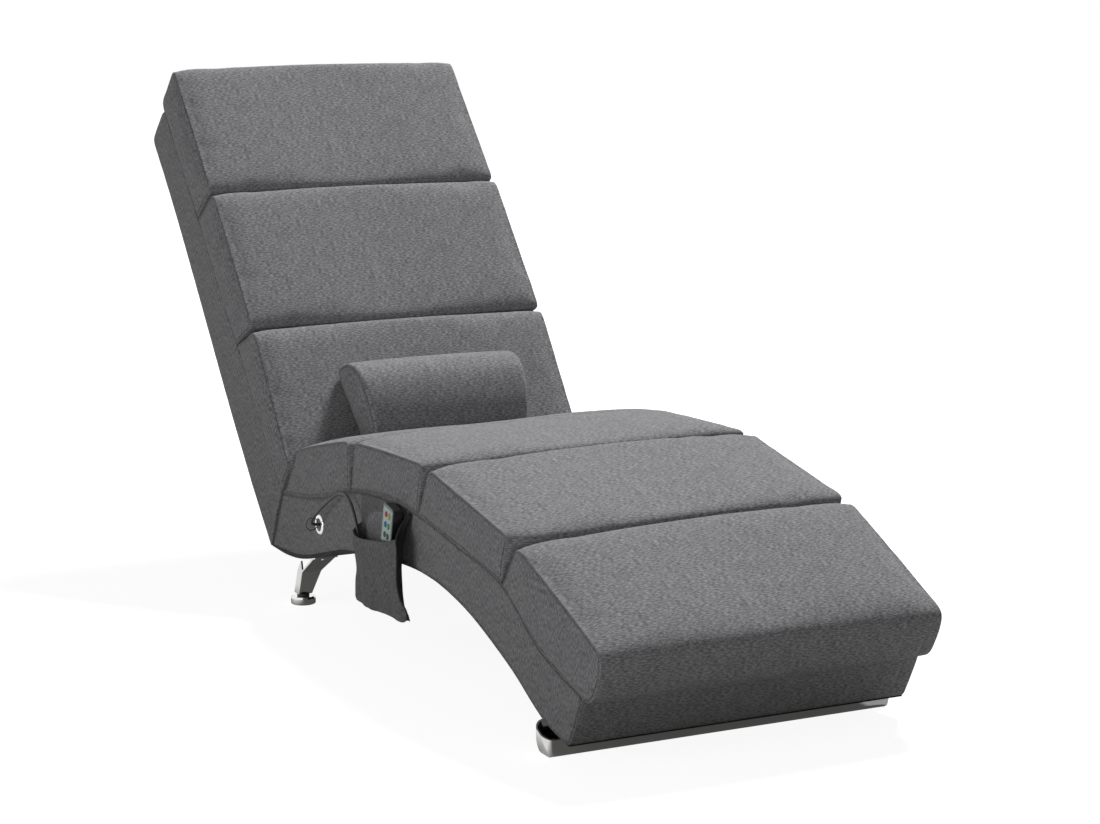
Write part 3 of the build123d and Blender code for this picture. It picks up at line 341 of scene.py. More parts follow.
class Skin:
    """Collects the cloth of one sewn piece: its surface, its weave coordinates and its seams."""

    JOIN = 0.00002
    WAVES = 9.0
    RIPPLES = 23.0
    GATHERS = 62.0
    RIPPLE_SHIFT = Vector((7.0, 3.0, 1.0))
    GATHER_SHIFT = Vector((1.0, 9.0, 4.0))
    SEAM_FADE = 0.016
    HELD_GATHERS = 0.35

    def __init__(self, name: str) -> None:
        """Starts an empty skin.

        Args:
            name: the piece's name.
        """
        self.name = name
        self.mesh = bmesh.new()
        self.weave = self.mesh.loops.layers.uv.new("weave")
        self.seam = self.mesh.verts.layers.float.new("seam")
        self.hold = self.mesh.verts.layers.float.new("hold")

    def grid(
        self,
        rows: Sequence[Sequence[Vector]],
        weave: Sequence[Line],
        seam: Callable[[int, int], float] = lambda row, column: 1.0,
        hold: Callable[[int, int], float] = lambda row, column: 0.0,
        flip: bool = False,
    ) -> None:
        """Adds a net of faces.

        Args:
            rows: its points, row by row.
            weave: the weave coordinates of those points, in metres.
            seam: gives how far a row and column is from its nearest seam.
            hold: gives how firmly a row and column is held, from 0 to 1.
            flip: turns the faces over.
        """
        verts = []
        for row_number, row in enumerate(rows):
            line = []
            for column, point in enumerate(row):
                vert = self.mesh.verts.new(point)
                vert[self.seam] = seam(row_number, column)
                vert[self.hold] = hold(row_number, column)
                line.append(vert)
            verts.append(line)
        for row in range(len(rows) - 1):
            for column in range(len(rows[0]) - 1):
                spots = [(row, column), (row, column + 1), (row + 1, column + 1), (row + 1, column)]
                if flip:
                    spots.reverse()
                face = self.mesh.faces.new([verts[r][c] for r, c in spots])
                face.smooth = True
                for loop, (r, c) in zip(face.loops, spots):
                    loop[self.weave].uv = weave[r][c]

    def finished(self, unevenness: float = 0.0, pucker: float = 0.0) -> Piece:
        """Joins the nets, gives the cloth its small waves and puckers, and makes the object.

        Args:
            unevenness: how far the cloth's slow waves reach.
            pucker: how far the gathers along a seam reach.

        Returns:
            The object, linked to the scene.
        """
        bmesh.ops.remove_doubles(self.mesh, verts=self.mesh.verts, dist=self.JOIN)
        self.mesh.normal_update()
        moves = []
        for vert in self.mesh.verts:
            ripples = noise.noise(vert.co * self.RIPPLES + self.RIPPLE_SHIFT)
            slow = noise.noise(vert.co * self.WAVES) + 0.5 * ripples
            quick = noise.noise(vert.co * self.GATHERS + self.GATHER_SHIFT)
            near = math.exp(-vert[self.seam] / self.SEAM_FADE)
            free = 1 - vert[self.hold]
            gathers = self.HELD_GATHERS + (1 - self.HELD_GATHERS) * free
            out = unevenness * slow * free + pucker * quick * near * gathers
            moves.append((vert, vert.normal * out))
        for vert, move in moves:
            vert.co += move
        data = settled(self.name, self.mesh)
        piece = shown(self.name, data)
        group = piece.vertex_groups.new(name="held")
        held = data.attributes["hold"].data
        for vert in data.vertices:
            group.add([vert.index], held[vert.index].value, "REPLACE")
        return piece


@dataclass
class SewnForm:
    """A sewn piece that runs across the lounger, with a flat panel at each end.

    The turns are the angles, in degrees, of the roll over the edge between the long panel and an end
    panel. The seam's shape has shares of its depth and of its width. The weave shifts keep the two
    kinds of panel on parts of the weave of their own.
    """

    name: str
    half_width: float
    pitch: float = 0.010
    ring_pitch: float = 1.2
    least_parts: tuple[int, int] = (6, 8)
    roll: float = 0.0020
    roll_held: float = 0.9
    turns: tuple[float, ...] = (25.0, 50.0, 72.0, 90.0)
    end_bulge: float = 0.003
    end_flat: int = 4
    seam_depth: float = 0.0012
    seam_width: float = 0.0020
    seam_shape: Line = ((0.0, 0.0), (0.5, 0.3), (1.0, 0.5), (0.5, 0.7), (0.0, 1.0))
    seam_hold: float = 0.75
    end_hold: float = 0.70
    groove_power: int = 8
    swell: float = 0.0
    unevenness: float = 0.0008
    pucker: float = 0.0008
    long_weave: float = 2.0
    end_weave: float = 5.0

    def section(self, share: float) -> Section:
        """The side outline at a share of the half width."""
        raise NotImplementedError

    def placed(self, across: float, point: Point) -> Vector:
        """A side view point of the piece, at a distance across."""
        return spot(across, point)

    def counts(self) -> list[int]:
        """Counts the parts of the four sides.

        Returns:
            The counts, alike for opposite sides.
        """
        section = self.section(0.0)
        tall = max(line_length(section.front), line_length(section.rear))
        long = max(line_length(section.top), line_length(section.bottom))
        upright, level = (
            max(least, round(length / self.pitch)) for least, length in zip(self.least_parts, (tall, long))
        )
        return [upright, level, upright, level]

    def stations(self) -> list[Pair]:
        """Places the rings of the long panel.

        Returns:
            How far across each ring is, and how far it is drawn in.
        """
        reach = self.half_width - self.roll
        count = max(self.least_parts[1], round(2 * reach / (self.pitch * self.ring_pitch)))
        inner = [(-reach + 2 * reach * number / count, 0.0) for number in range(count + 1)]
        turns = [math.radians(degrees) for degrees in self.turns]
        roll = [(reach + self.roll * math.sin(t), self.roll * (1 - math.cos(t))) for t in turns]
        near = [(-across, inset) for across, inset in reversed(roll)]
        return [*near, *inner, *roll]

    def seam_rings(self) -> list[Pair]:
        """The rings of the seam round an end panel: how far across and how far drawn in."""
        return [
            (self.half_width - self.seam_depth * deep, self.roll + self.seam_width * wide)
            for deep, wide in self.seam_shape
        ]

    def held(self, side: int, share: float) -> float:
        """Says how firmly a point is held: the bottom is fixed and the grooves let go upward.

        Args:
            side: the side that the point is on.
            share: how far along that side it is.

        Returns:
            Its hold, from 0 to 1.
        """
        if side in (Side.BOTTOM, Side.TOP):
            return float(side == Side.BOTTOM)
        rise = share if side == Side.FRONT else 1 - share
        return 1.0 - rise**self.groove_power

    def long_panel(self, skin: Skin, counts: list[int]) -> None:
        """Adds the panel that runs across, over the grooves and the bottom.

        Args:
            skin: the skin that it is added to.
            counts: how many parts each side has.
        """
        stations = self.stations()
        rings = []
        for across, inset in stations:
            ring = ring_of(self.section(across / self.half_width).sides(counts))
            ring = drawn_in(ring, inset - self.swell)
            rings.append([*ring, ring[0]])
        middle = rings[len(rings) // 2]
        walked = [0.0]
        for first, second in zip(middle, middle[1:]):
            walked.append(walked[-1] + span(first, second))
        holds = [self.held(side, number / counts[side]) for side in Side for number in range(counts[side])]
        holds.append(holds[0])
        rows = []
        for (across, _), ring in zip(stations, rings):
            rows.append([self.placed(across, point) for point in ring])
        weave = [[(walk, across + self.long_weave) for walk in walked] for across, _ in stations]
        rolled = self.half_width - self.roll * self.roll_held
        grips = [self.seam_hold if abs(across) > rolled else 0 for across, _ in stations]
        skin.grid(
            rows,
            weave,
            lambda row, column: max(0.0, self.half_width - abs(stations[row][0])),
            lambda row, column: max(holds[column], grips[row]),
        )

    def end_panel(self, skin: Skin, counts: list[int], way: int) -> None:
        """Adds the seam and the flat panel at one end.

        Args:
            skin: the skin that it is added to.
            counts: how many parts each side has.
            way: -1 for the sitter's right end and 1 for the left.
        """
        ring = ring_of(self.section(way * 1.0).sides(counts))
        rings = [drawn_in(ring, inset - self.swell) for _, inset in self.seam_rings()]
        rows = []
        for (across, _), points in zip(self.seam_rings(), rings):
            rows.append([self.placed(way * across, point) for point in [*points, points[0]]])
        skin.grid(
            rows, self.upright(rows), lambda row, column: 0.0, lambda row, column: self.seam_hold, way < 0
        )
        inner = rings[-1]
        up, level = counts[0], counts[1]
        front = inner[: up + 1]
        top = inner[up : up + level + 1]
        rear = inner[up + level : 2 * up + level + 1][::-1]
        bottom = [*inner[2 * up + level :], inner[0]][::-1]
        rows = []
        for row, line in enumerate(patch(bottom, top, front, rear)):
            rise = 1 - abs(2 * row / up - 1) ** self.end_flat
            points = []
            for column, point in enumerate(line):
                bulge = self.end_bulge * rise * (1 - abs(2 * column / level - 1) ** self.end_flat)
                points.append(self.placed(way * (self.half_width + bulge), point))
            rows.append(points)
        insets = [[min(r, up - r, c, level - c) for c in range(level + 1)] for r in range(up + 1)]
        skin.grid(
            rows,
            self.upright(rows),
            lambda row, column: self.pitch * insets[row][column],
            lambda row, column: self.end_hold if insets[row][column] else self.seam_hold,
            way > 0,
        )

    def upright(self, rows: Sequence[Sequence[Vector]]) -> list[list[Point]]:
        """The weave coordinates of an end panel, whose yarns stand upright."""
        return [[(point.y, point.z + self.end_weave) for point in row] for row in rows]

    def build(self) -> Piece:
        """Makes the whole piece.

        Returns:
            The object, linked to the scene.
        """
        skin = Skin(self.name)
        counts = self.counts()
        self.long_panel(skin, counts)
        for way in (-1, 1):
            self.end_panel(skin, counts, way)
        bmesh.ops.recalc_face_normals(skin.mesh, faces=skin.mesh.faces)
        return skin.finished(self.unevenness, self.pucker)


@dataclass
class Cushion(SewnForm):
    """A boxed cushion, sewn from a crowned top panel and two end panels.

    The gaps open towards its ends, less so at the far one, and the far values say how its crest
    moves towards the far end. The draws are how much rounder its two crests are at the ends.
    """

    foot: Line = ()
    front_top: Point = (0.0, 0.0)
    rear_top: Point = (0.0, 0.0)
    bow: float = 0.010
    flat: float = 3.4
    crown: float = 0.008
    crown_flat: int = 4
    front_gap: float = 0.003
    rear_gap: float = 0.003
    far_gap: float = 0.35
    gap_power: int = 14
    hollow: float = 0.003
    lip: Line = ()
    lip_fullness: float = 0.0
    far_front: float = 0.0
    far_rear: float = 0.0
    far_shift: Pair = (0.0, 0.0)
    far_power: int = 5
    low_reach: float = 0.003
    front_reach: float = 0.010
    rear_reach: float = 0.007
    foot_reach: float = 0.003
    draws: Pair = (0.006, 0.012)
    slack: float = 0.0025

    def section(self, share: float) -> Section:
        """The side outline, fuller in the middle of the width.

        Args:
            share: how far across it is, from -1 to 1.

        Returns:
            The outline.
        """
        full = 1 - abs(share) ** self.crown_flat
        ends = abs(share) ** self.gap_power
        gap = ends if share < 0 else ends * self.far_gap
        crown = self.crown * 0.5 * full
        left = (share + 1) / 2
        drift = left**self.far_power
        low_front, low_rear = self.foot[0], self.foot[-1]
        front = self.raised(self.front_top, low_front, crown + self.far_front * left)
        rear = self.raised(self.rear_top, low_rear, crown + self.far_rear * left)
        front = (front[0] + self.far_shift[0] * drift, front[1])
        rear = (rear[0] + self.far_shift[1] * drift, rear[1])
        width = span(front, rear)
        shift = self.lip_fullness * full / width
        front, rear = (
            mix(front, rear, self.front_gap * gap / width - shift),
            mix(rear, front, self.rear_gap * gap / width),
        )
        top = bowed(front, rear, self.bow + crown - self.slack, self.flat)
        face = bowed(low_front, front, -self.hollow * ends)
        if self.lip:
            face = flowing([low_front, *self.lip_at(full), front])
        back = bowed(rear, low_rear, -self.hollow * ends)
        crests = (self.front_reach + self.draws[0] * ends, self.rear_reach + self.draws[1] * ends)
        bottom = flowing(self.foot[::-1])
        return Section(face, top, back, bottom, (self.low_reach, *crests, self.foot_reach))

    def lip_at(self, full: float) -> list[Point]:
        """The points of a hanging front lip, pushed forward where the cushion is full."""
        return [(point[0] - self.lip_fullness * full, point[1]) for point in self.lip]

    @staticmethod
    def raised(top: Point, foot: Point, rise: float) -> Point:
        """A top corner lifted away from its foot."""
        return mix(foot, top, 1 + rise / span(foot, top))


class Board:
    """Lays out the shader nodes of a material or of the world."""

    def __init__(self, owner: bpy.types.Material | bpy.types.World) -> None:
        """Starts with an owner's own nodes.

        Args:
            owner: what the nodes are for.
        """
        owner.use_nodes = True
        self.owner = owner
        self.tree = owner.node_tree
        self.surface = self.tree.nodes.get("Principled BSDF")

    def add(self, kind: str, **values: object) -> bpy.types.Node:
        """Adds a node and sets its inputs, or its settings where it has no such input.

        Args:
            kind: the node's type.
            values: its inputs and settings, with an underscore for each space.

        Returns:
            The node.
        """
        node = self.tree.nodes.new(kind)
        for name, value in values.items():
            socket = node.inputs.get(name.replace("_", " "))
            if socket is None:
                setattr(node, name, value)
            else:
                socket.default_value = value
        return node

    def join(self, source: Socket, target: Socket) -> None:
        """Joins an output to an input."""
        self.tree.links.new(source, target)

    def feed(self, source: Socket, name: str) -> None:
        """Joins an output to an input of the surface shader."""
        self.join(source, self.surface.inputs[name])

    def set(self, **values: object) -> None:
        """Sets plain values on the surface shader."""
        for name, value in values.items():
            self.surface.inputs[name.replace("_", " ")].default_value = value

    def mapped(self, where: Socket, scale: Three) -> Socket:
        """Coordinates, scaled along each axis."""
        mapping = self.add("ShaderNodeMapping", Scale=scale)
        self.join(where, mapping.inputs["Vector"])
        return mapping.outputs["Vector"]

    def weave(self, along: float, over: float) -> Socket:
        """The weave coordinates, scaled along the yarns and over them."""
        return self.mapped(self.add("ShaderNodeUVMap", uv_map="weave").outputs["UV"], (along, over, 1.0))

    def space(self) -> Socket:
        """The piece's own coordinates, in metres."""
        return self.add("ShaderNodeTexCoord").outputs["Object"]

    def parted(self, where: Socket, axis: str) -> Socket:
        """One axis of some coordinates."""
        parts = self.add("ShaderNodeSeparateXYZ")
        self.join(where, parts.inputs[0])
        return parts.outputs[axis]

    def noise(self, where: Socket, scale: float, detail: float = 2.0, rough: float = 0.5) -> Socket:
        """A noise's strength at each place."""
        node = self.add("ShaderNodeTexNoise", Scale=scale, Detail=detail, Roughness=rough)
        self.join(where, node.inputs["Vector"])
        return node.outputs["Fac"]

    def sum(self, first: Socket, second: Socket, way: str) -> Socket:
        """Two strengths put together in a way such as ADD, MULTIPLY or MAXIMUM."""
        node = self.add("ShaderNodeMath", operation=way)
        self.join(first, node.inputs[0])
        self.join(second, node.inputs[1])
        return node.outputs[0]

    def ramp(self, strength: Socket, stops: Sequence[tuple[float, Colour]]) -> Socket:
        """Lays colours out over a strength.

        Args:
            strength: the strength, from 0 to 1.
            stops: the colours, each with its place.

        Returns:
            The colour.
        """
        node = self.add("ShaderNodeValToRGB")
        colours = node.color_ramp.elements
        while len(colours) < len(stops):
            colours.new(0.5)
        for element, (place, colour) in zip(colours, stops):
            element.position = place
            element.color = (*colour, 1.0)
        self.join(strength, node.inputs["Fac"])
        return node.outputs["Color"]

    def stretched(
        self, strength: Socket, start: float, end: float, low: float = 0.0, high: float = 1.0
    ) -> Socket:
        """A strength from start to end, spread over the range from low to high."""
        node = self.add("ShaderNodeMapRange", From_Min=start, From_Max=end, To_Min=low, To_Max=high)
        self.join(strength, node.inputs["Value"])
        return node.outputs["Result"]

    def varied(self, base: Socket, extra: Socket, reach: float) -> Socket:
        """A strength that another one raises or lowers by a reach at most."""
        return self.sum(base, self.stretched(extra, 0.0, 1.0, -reach, reach), "ADD")

    def bump(self, height: Socket, strength: float, depth: float) -> None:
        """Raises the surface by a height of so many metres at most."""
        node = self.add("ShaderNodeBump", Strength=strength, Distance=depth)
        self.join(height, node.inputs["Height"])
        self.feed(node.outputs["Normal"], "Normal")


@dataclass(frozen=True)
class Look:
    """The look of a surface. Each kind lays out its own shader nodes."""

    name: str

    def build(self) -> bpy.types.Material:
        """Makes the material."""
        board = Board(bpy.data.materials.new(self.name))
        self.lay(board)
        return board.owner

    def lay(self, board: Board) -> None:
        """Lays out the nodes.

        Args:
            board: the board of the material.
        """
        raise NotImplementedError


@dataclass(frozen=True)
class WovenFabric(Look):
    """A heathered weave of dark and pale yarns, matt, with thick and thin places in both directions.

    Yarn is the width of a streak, and the streak, speck and thread values are shares of it.
    """

    dark: Colour
    middle: Colour
    pale: Colour
    roughness: float = 0.92
    sheen: float = 0.08
    gloss: float = 0.2
    yarn: float = 0.0021
    streak: float = 0.32
    speck: Pair = (1.9, 1.5)
    speck_reach: float = 0.24
    blotch: float = 38.0
    blotch_reach: float = 0.10
    contrast: Pair = (0.30, 0.70)
    thread: float = 0.35
    thread_height: float = 0.4
    relief: Pair = (0.35, 0.0004)

    def lay(self, board: Board) -> None:
        """Lays out the nodes.

        Args:
            board: the board of the material.
        """
        thin = 1.0 / self.yarn
        streaks = board.noise(board.weave(thin, thin * self.streak), 1.0, 1.0)
        specks = board.noise(board.weave(thin * self.speck[0], thin * self.speck[1]), 1.0, 1.0)
        yarns = board.varied(streaks, specks, self.speck_reach)
        blotches = board.noise(board.weave(self.blotch, self.blotch), 1.0, 2.0, 0.6)
        level = board.stretched(board.varied(yarns, blotches, self.blotch_reach), *self.contrast)
        stops = [(0.0, self.dark), (0.5, self.middle), (1.0, self.pale)]
        board.feed(board.ramp(level, stops), "Base Color")
        threads = board.sum(self.wave(board, "X"), self.wave(board, "Y"), "MULTIPLY")
        raised = board.stretched(threads, 0.0, 1.0, 0.0, self.thread_height)
        board.bump(board.sum(raised, yarns, "ADD"), *self.relief)
        board.set(Roughness=self.roughness, Specular_IOR_Level=self.gloss)
        board.set(Sheen_Weight=self.sheen, Sheen_Roughness=0.5)

    def wave(self, board: Board, way: str) -> Socket:
        """The rise and fall of the yarns that run one way."""
        node = board.add("ShaderNodeTexWave", Scale=self.thread / self.yarn, Distortion=1.5)
        node.bands_direction = way
        board.join(board.weave(1.0, 1.0), node.inputs["Vector"])
        return node.outputs["Fac"]


@dataclass(frozen=True)
class Plated(Look):
    """Polished or zinc plated steel, with faint wipe marks that change its gloss."""

    colour: Colour
    gloss: Pair
    wipes: float = 34.0
    grain: float = 900.0
    relief: Pair = (0.02, 0.0002)

    def lay(self, board: Board) -> None:
        """Lays out the nodes.

        Args:
            board: the board of the material.
        """
        smears = board.noise(board.space(), self.wipes, 3.0, 0.6)
        board.feed(board.stretched(smears, 0.3, 0.7, *self.gloss), "Roughness")
        board.bump(board.noise(board.space(), self.grain, 1.0), *self.relief)
        board.set(Base_Color=(*self.colour, 1.0), Metallic=1.0)


@dataclass(frozen=True)
class Moulded(Look):
    """Moulded plastic or rubber with a fine grain, whose depth is given."""

    colour: Colour
    roughness: float
    depth: float = 0.0002
    strength: float = 0.25
    grain: float = 1400.0
    wear: float = 60.0
    shades: Pair = (0.85, 1.15)
    lift: float = 0.002
    wear_shares: Pair = (0.9, 1.1)

    def lay(self, board: Board) -> None:
        """Lays out the nodes.

        Args:
            board: the board of the material.
        """
        speckle = board.noise(board.space(), self.grain)
        low = tuple(part * self.shades[0] for part in self.colour)
        high = tuple(min(1.0, part * self.shades[1] + self.lift) for part in self.colour)
        board.feed(board.ramp(speckle, [(0.35, low), (0.65, high)]), "Base Color")
        board.bump(speckle, self.strength, self.depth)
        wear = board.noise(board.space(), self.wear, 3.0)
        least, most = (self.roughness * share for share in self.wear_shares)
        board.feed(board.stretched(wear, 0.3, 0.7, least, most), "Roughness")


@dataclass(frozen=True)
class SawnWood(Look):
    """Unfinished plywood and pine, with grain along the lounger."""

    early: Colour
    late: Colour
    grain: Three = (70.0, 4.0, 70.0)
    relief: Pair = (0.3, 0.0004)
    roughness: float = 0.75

    def lay(self, board: Board) -> None:
        """Lays out the nodes.

        Args:
            board: the board of the material.
        """
        grain = board.noise(board.mapped(board.space(), self.grain), 1.0, 4.0, 0.6)
        board.feed(board.ramp(grain, [(0.35, self.early), (0.65, self.late)]), "Base Color")
        board.bump(grain, *self.relief)
        board.set(Roughness=self.roughness)


@dataclass(frozen=True)
class PrintedFilm(Look):
    """The bare printed film on the handset: deep green-blue with a slow shift of tone."""

    deep: Colour
    bright: Colour
    drift: float = 22.0
    grain: float = 700.0
    relief: Pair = (0.05, 0.0001)
    roughness: float = 0.28

    def lay(self, board: Board) -> None:
        """Lays out the nodes.

        Args:
            board: the board of the material.
        """
        drift = board.noise(board.space(), self.drift)
        board.feed(board.ramp(drift, [(0.35, self.deep), (0.7, self.bright)]), "Base Color")
        board.bump(board.noise(board.space(), self.grain), *self.relief)
        board.set(Roughness=self.roughness)


class Finish(Enum):
    """The finishes of the recliner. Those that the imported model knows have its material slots' names."""

    CUSHION_FABRIC = WovenFabric(
        "cushion_fabric", (0.140, 0.140, 0.145), (0.240, 0.241, 0.249), (0.375, 0.375, 0.384)
    )
    COVER_FABRIC = WovenFabric(
        "cover_fabric", (0.136, 0.136, 0.141), (0.232, 0.233, 0.240), (0.360, 0.360, 0.369)
    )
    # A darker copy of the cover fabric, which the pocket is made of: painted shade on the pocket's cloth
    # and hem.
    SHADED_POCKET_FABRIC = WovenFabric(
        "shaded_pocket_fabric", (0.085, 0.085, 0.088), (0.145, 0.145, 0.149), (0.235, 0.235, 0.240)
    )
    DUST_CLOTH = Moulded("dust_cloth", (0.012, 0.012, 0.013), 0.95, 0.0004)
    BLACK_PIPING = Moulded("black_piping", (0.010, 0.010, 0.011), 0.80, 0.0004)
    FRAME_WOOD = SawnWood("frame_wood", (0.58, 0.44, 0.29), (0.42, 0.29, 0.17))
    CHROME = Plated("chrome", (0.83, 0.82, 0.80), (0.05, 0.12))
    ZINC_STEEL = Plated("zinc_steel", (0.62, 0.62, 0.63), (0.30, 0.42))
    INNER_PLASTIC = Moulded("inner_plastic", (0.045, 0.045, 0.047), 0.60)
    BLACK_PLASTIC = Moulded("black_plastic", (0.020, 0.020, 0.021), 0.50)
    CIRCUIT_BOARD = Moulded("circuit_board", (0.020, 0.150, 0.060), 0.45)
    CORD_RUBBER = Moulded("cord_rubber", (0.014, 0.014, 0.015), 0.45)
    NYLON = Moulded("nylon", (0.015, 0.015, 0.016), 0.35)
    HANDSET_PLASTIC = Moulded("handset_plastic", (0.013, 0.013, 0.014), 0.33)
    LABEL_FILM = PrintedFilm("label_film", (0.100, 0.220, 0.200), (0.220, 0.380, 0.340))
    KEY_RUBBER = Moulded("key_rubber", (0.030, 0.032, 0.034), 0.60)
    RED_KEY = Moulded("red_key", (0.420, 0.030, 0.028), 0.60)
    YELLOW_KEY = Moulded("yellow_key", (0.560, 0.360, 0.040), 0.60)
    BLUE_KEY = Moulded("blue_key", (0.030, 0.110, 0.330), 0.60)
    GREEN_KEY = Moulded("green_key", (0.050, 0.260, 0.090), 0.60)


KEY_FINISHES = {
    "key_power": Finish.RED_KEY,
    "key_heat": Finish.YELLOW_KEY,
    "key_mode": Finish.BLUE_KEY,
    "key_speed": Finish.GREEN_KEY,
}


class Wardrobe:
    """Makes each finish once and hands it out."""

    def __init__(self) -> None:
        """Starts with nothing made."""
        self.made: dict[Finish, bpy.types.Material] = {}

    def dress(self, piece: Piece, finish: Finish) -> None:
        """Gives a piece one finish in every slot."""
        if finish not in self.made:
            self.made[finish] = finish.value.build()
        piece.data.materials.clear()
        piece.data.materials.append(self.made[finish])

    def declare(
        self, piece: Piece, finish: Finish, nodes: Sequence[str]
    ) -> None:
        """Dresses a piece and lets it stand for its nodes.

        Args:
            piece: the piece.
            finish: its finish.
            nodes: the nodes that it stands for.
        """
        self.dress(piece, finish)
        if nodes:
            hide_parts(*nodes)

    def place(
        self,
        piece: Piece,
        finish: Finish,
        nodes: Sequence[str] = (),
        body: str = "lounger",
        slot: Finish | None = None,
    ) -> None:
        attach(piece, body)
        self.declare(piece, finish, nodes)


@dataclass
class SeatBase(SewnForm):
    """The cloth cover of the seat's wooden base: sides, front panel and rear edge."""

    reaches: Four = (0.008, 0.003, 0.001, 0.003)

    def section(self, share: float) -> Section:
        """The side outline, the same all the way across."""
        front = bowed(UNDERSIDE[0], DECK[0], 0.001)
        rear = bowed(DECK[-1], UNDERSIDE[-1], 0.0)
        return Section(front, flowing(DECK), rear, flowing(UNDERSIDE[::-1]), self.reaches)


@dataclass(frozen=True)
class Back:
    """The raked back: its foot, its slope in degrees and the cushions that stand on that slope.

    A run is a distance up the slope. Depths, bows and reaches go from the lower cushion to the upper.
    """

    foot: Point = (1.1640, 0.1871)
    slope: float = 47.5
    runs: tuple[float, ...] = (0.0017, 0.3050, 0.5817, 0.8493)
    crest_runs: tuple[float, ...] = (0.0100, 0.2800, 0.5700, 0.8550)
    front_depths: tuple[float, ...] = (0.0570, 0.0860, 0.0930)
    rear_depths: tuple[float, ...] = (0.0900, 0.0980, 0.0970)
    foot_reaches: tuple[float, ...] = (0.003, 0.003, 0.020)
    bows: tuple[float, ...] = (0.0060, 0.0050, 0.0030)

    def at(self, run: float, out: float = 0.0) -> Point:
        """A side view point from its run up the slope and how far it stands out of it."""
        angle = math.radians(self.slope)
        up = (math.cos(angle), math.sin(angle))
        return (self.foot[0] + up[0] * run - up[1] * out, self.foot[1] + up[1] * run + up[0] * out)

    def cushion(self, number: int, name: str) -> Cushion:
        """Sizes one of the three back cushions.

        Args:
            number: which one, counted from the seat.
            name: its name.

        Returns:
            The cushion.
        """
        low, high = self.runs[number], self.runs[number + 1]
        return Cushion(
            name,
            BACK_HALF_WIDTH,
            foot=tuple(self.at(run) for run in (low, (low + high) / 2, high)),
            front_top=self.at(self.crest_runs[number], self.front_depths[number]),
            rear_top=self.at(self.crest_runs[number + 1], self.rear_depths[number]),
            bow=self.bows[number],
            crown=0.003,
            flat=6.0,
            front_reach=0.006,
            end_bulge=0.007,
            foot_reach=self.foot_reaches[number],
        )


@dataclass
class BackShell(SewnForm):
    """The cloth cover of the back's wooden frame, whose rear sags towards its foot.

    The rear points are given as (run, out) and the sag and the foot as side view points.
    """

    back: Back = Back()
    foot_run: float = 0.004
    top_run: float = 0.831
    rear: Line = ((0.8310, -0.0880), (0.6316, -0.0891), (0.2659, -0.1089))
    sag: Line = ((1.3390, 0.2110), (1.2900, 0.1560), (1.2195, 0.0822))
    bows: Pair = (-0.003, 0.002)
    reaches: Four = (0.003, 0.003, 0.010, 0.012)

    def section(self, share: float) -> Section:
        """The side outline, the same all the way across."""
        foot, top = self.back.at(self.foot_run), self.back.at(self.top_run)
        rear = [self.back.at(*point) for point in self.rear]
        front = bowed(self.sag[-1], foot, self.bows[0])
        end = bowed(top, rear[0], self.bows[1])
        return Section(front, bowed(foot, top, 0.0), end, flowing([*rear, *self.sag]), self.reaches)


@dataclass
class Bolster(SewnForm):
    """The loose lumbar roll, flat against the back and round towards the sitter.

    Its corners go from the low one at the back over the front to the high one at the back.
    """

    corners: Line = ((1.1190, 0.2465), (1.0670, 0.2840), (1.1320, 0.4070), (1.2210, 0.3775))
    bows: tuple[float, ...] = (0.003, 0.018, 0.008, 0.0)
    reaches: Four = (0.014, 0.034, 0.034, 0.016)
    draw: float = 0.003
    lean: float = 0.018
    lean_middle: float = 0.6
    draw_power: int = 3
    lean_power: int = 5

    def section(self, share: float) -> Section:
        """The side outline, a little smaller towards the ends.

        Args:
            share: how far across it is, from -1 to 1.

        Returns:
            The outline.
        """
        draw = self.draw * abs(share) ** self.draw_power
        middle = mix(self.corners[0], self.corners[2], 0.5)
        points = [mix(corner, middle, draw / span(corner, middle)) for corner in self.corners]
        following = [*points[1:], points[0]]
        lines = [bowed(point, after, bow) for point, after, bow in zip(points, following, self.bows)]
        return Section(*lines, self.reaches)

    def placed(self, across: float, point: Point) -> Vector:
        """A side view point of the roll, whose ends lean out towards their top."""
        low, high = self.corners[0][1], self.corners[2][1]
        rise = (point[1] - low) / (high - low) - self.lean_middle
        lean = self.lean * rise * (across / self.half_width) ** self.lean_power
        return spot(across + lean, point)


@dataclass(frozen=True)
class DustCloth:
    """The thin black cloth under the seat base, folded up a little over the edge of its sides."""

    half_width: float = 0.2752
    proud: float = 0.0018
    drop: float = 0.0016
    drop_share: float = 0.3
    fold: float = 0.0055
    fold_start: float = 0.815
    fold_end: float = 1.260
    fades: Pair = (0.080, 0.100)
    parts: int = 90
    shares: tuple[float, ...] = (
        -1.0, -1.0, -0.997, -0.98, *(number / 10 for number in range(-9, 10)), 0.98, 0.997, 1.0, 1.0,
    )

    def folded(self, place: float) -> float:
        """How much of the fold shows at a place, from 0 in front of it to 1."""
        start, end = (place - self.fold_start) / self.fades[0], (self.fold_end - place) / self.fades[1]
        return max(0.0, min(1.0, start, end))

    def build(self) -> Piece:
        """Makes the cloth as one sheet, whose first and last rows are the folded edges.

        Returns:
            The object, linked to the scene.
        """
        line = eased(UNDERSIDE, self.parts)
        rows = []
        for number, across in enumerate(self.shares):
            edge = number in (0, len(self.shares) - 1)
            row = []
            for place, height in line:
                share = self.folded(place)
                drop = self.drop * (self.drop_share + (1 - self.drop_share) * share)
                lift = self.fold * share if edge else -drop
                row.append(spot(across * (self.half_width + self.proud * share), (place, height + lift)))
            rows.append(row)
        skin = Skin("dust_cloth_sheet")
        weave = [[(point.y, point.x) for point in row] for row in rows]
        skin.grid(rows, weave, hold=lambda row, column: 1.0)
        return skin.finished()


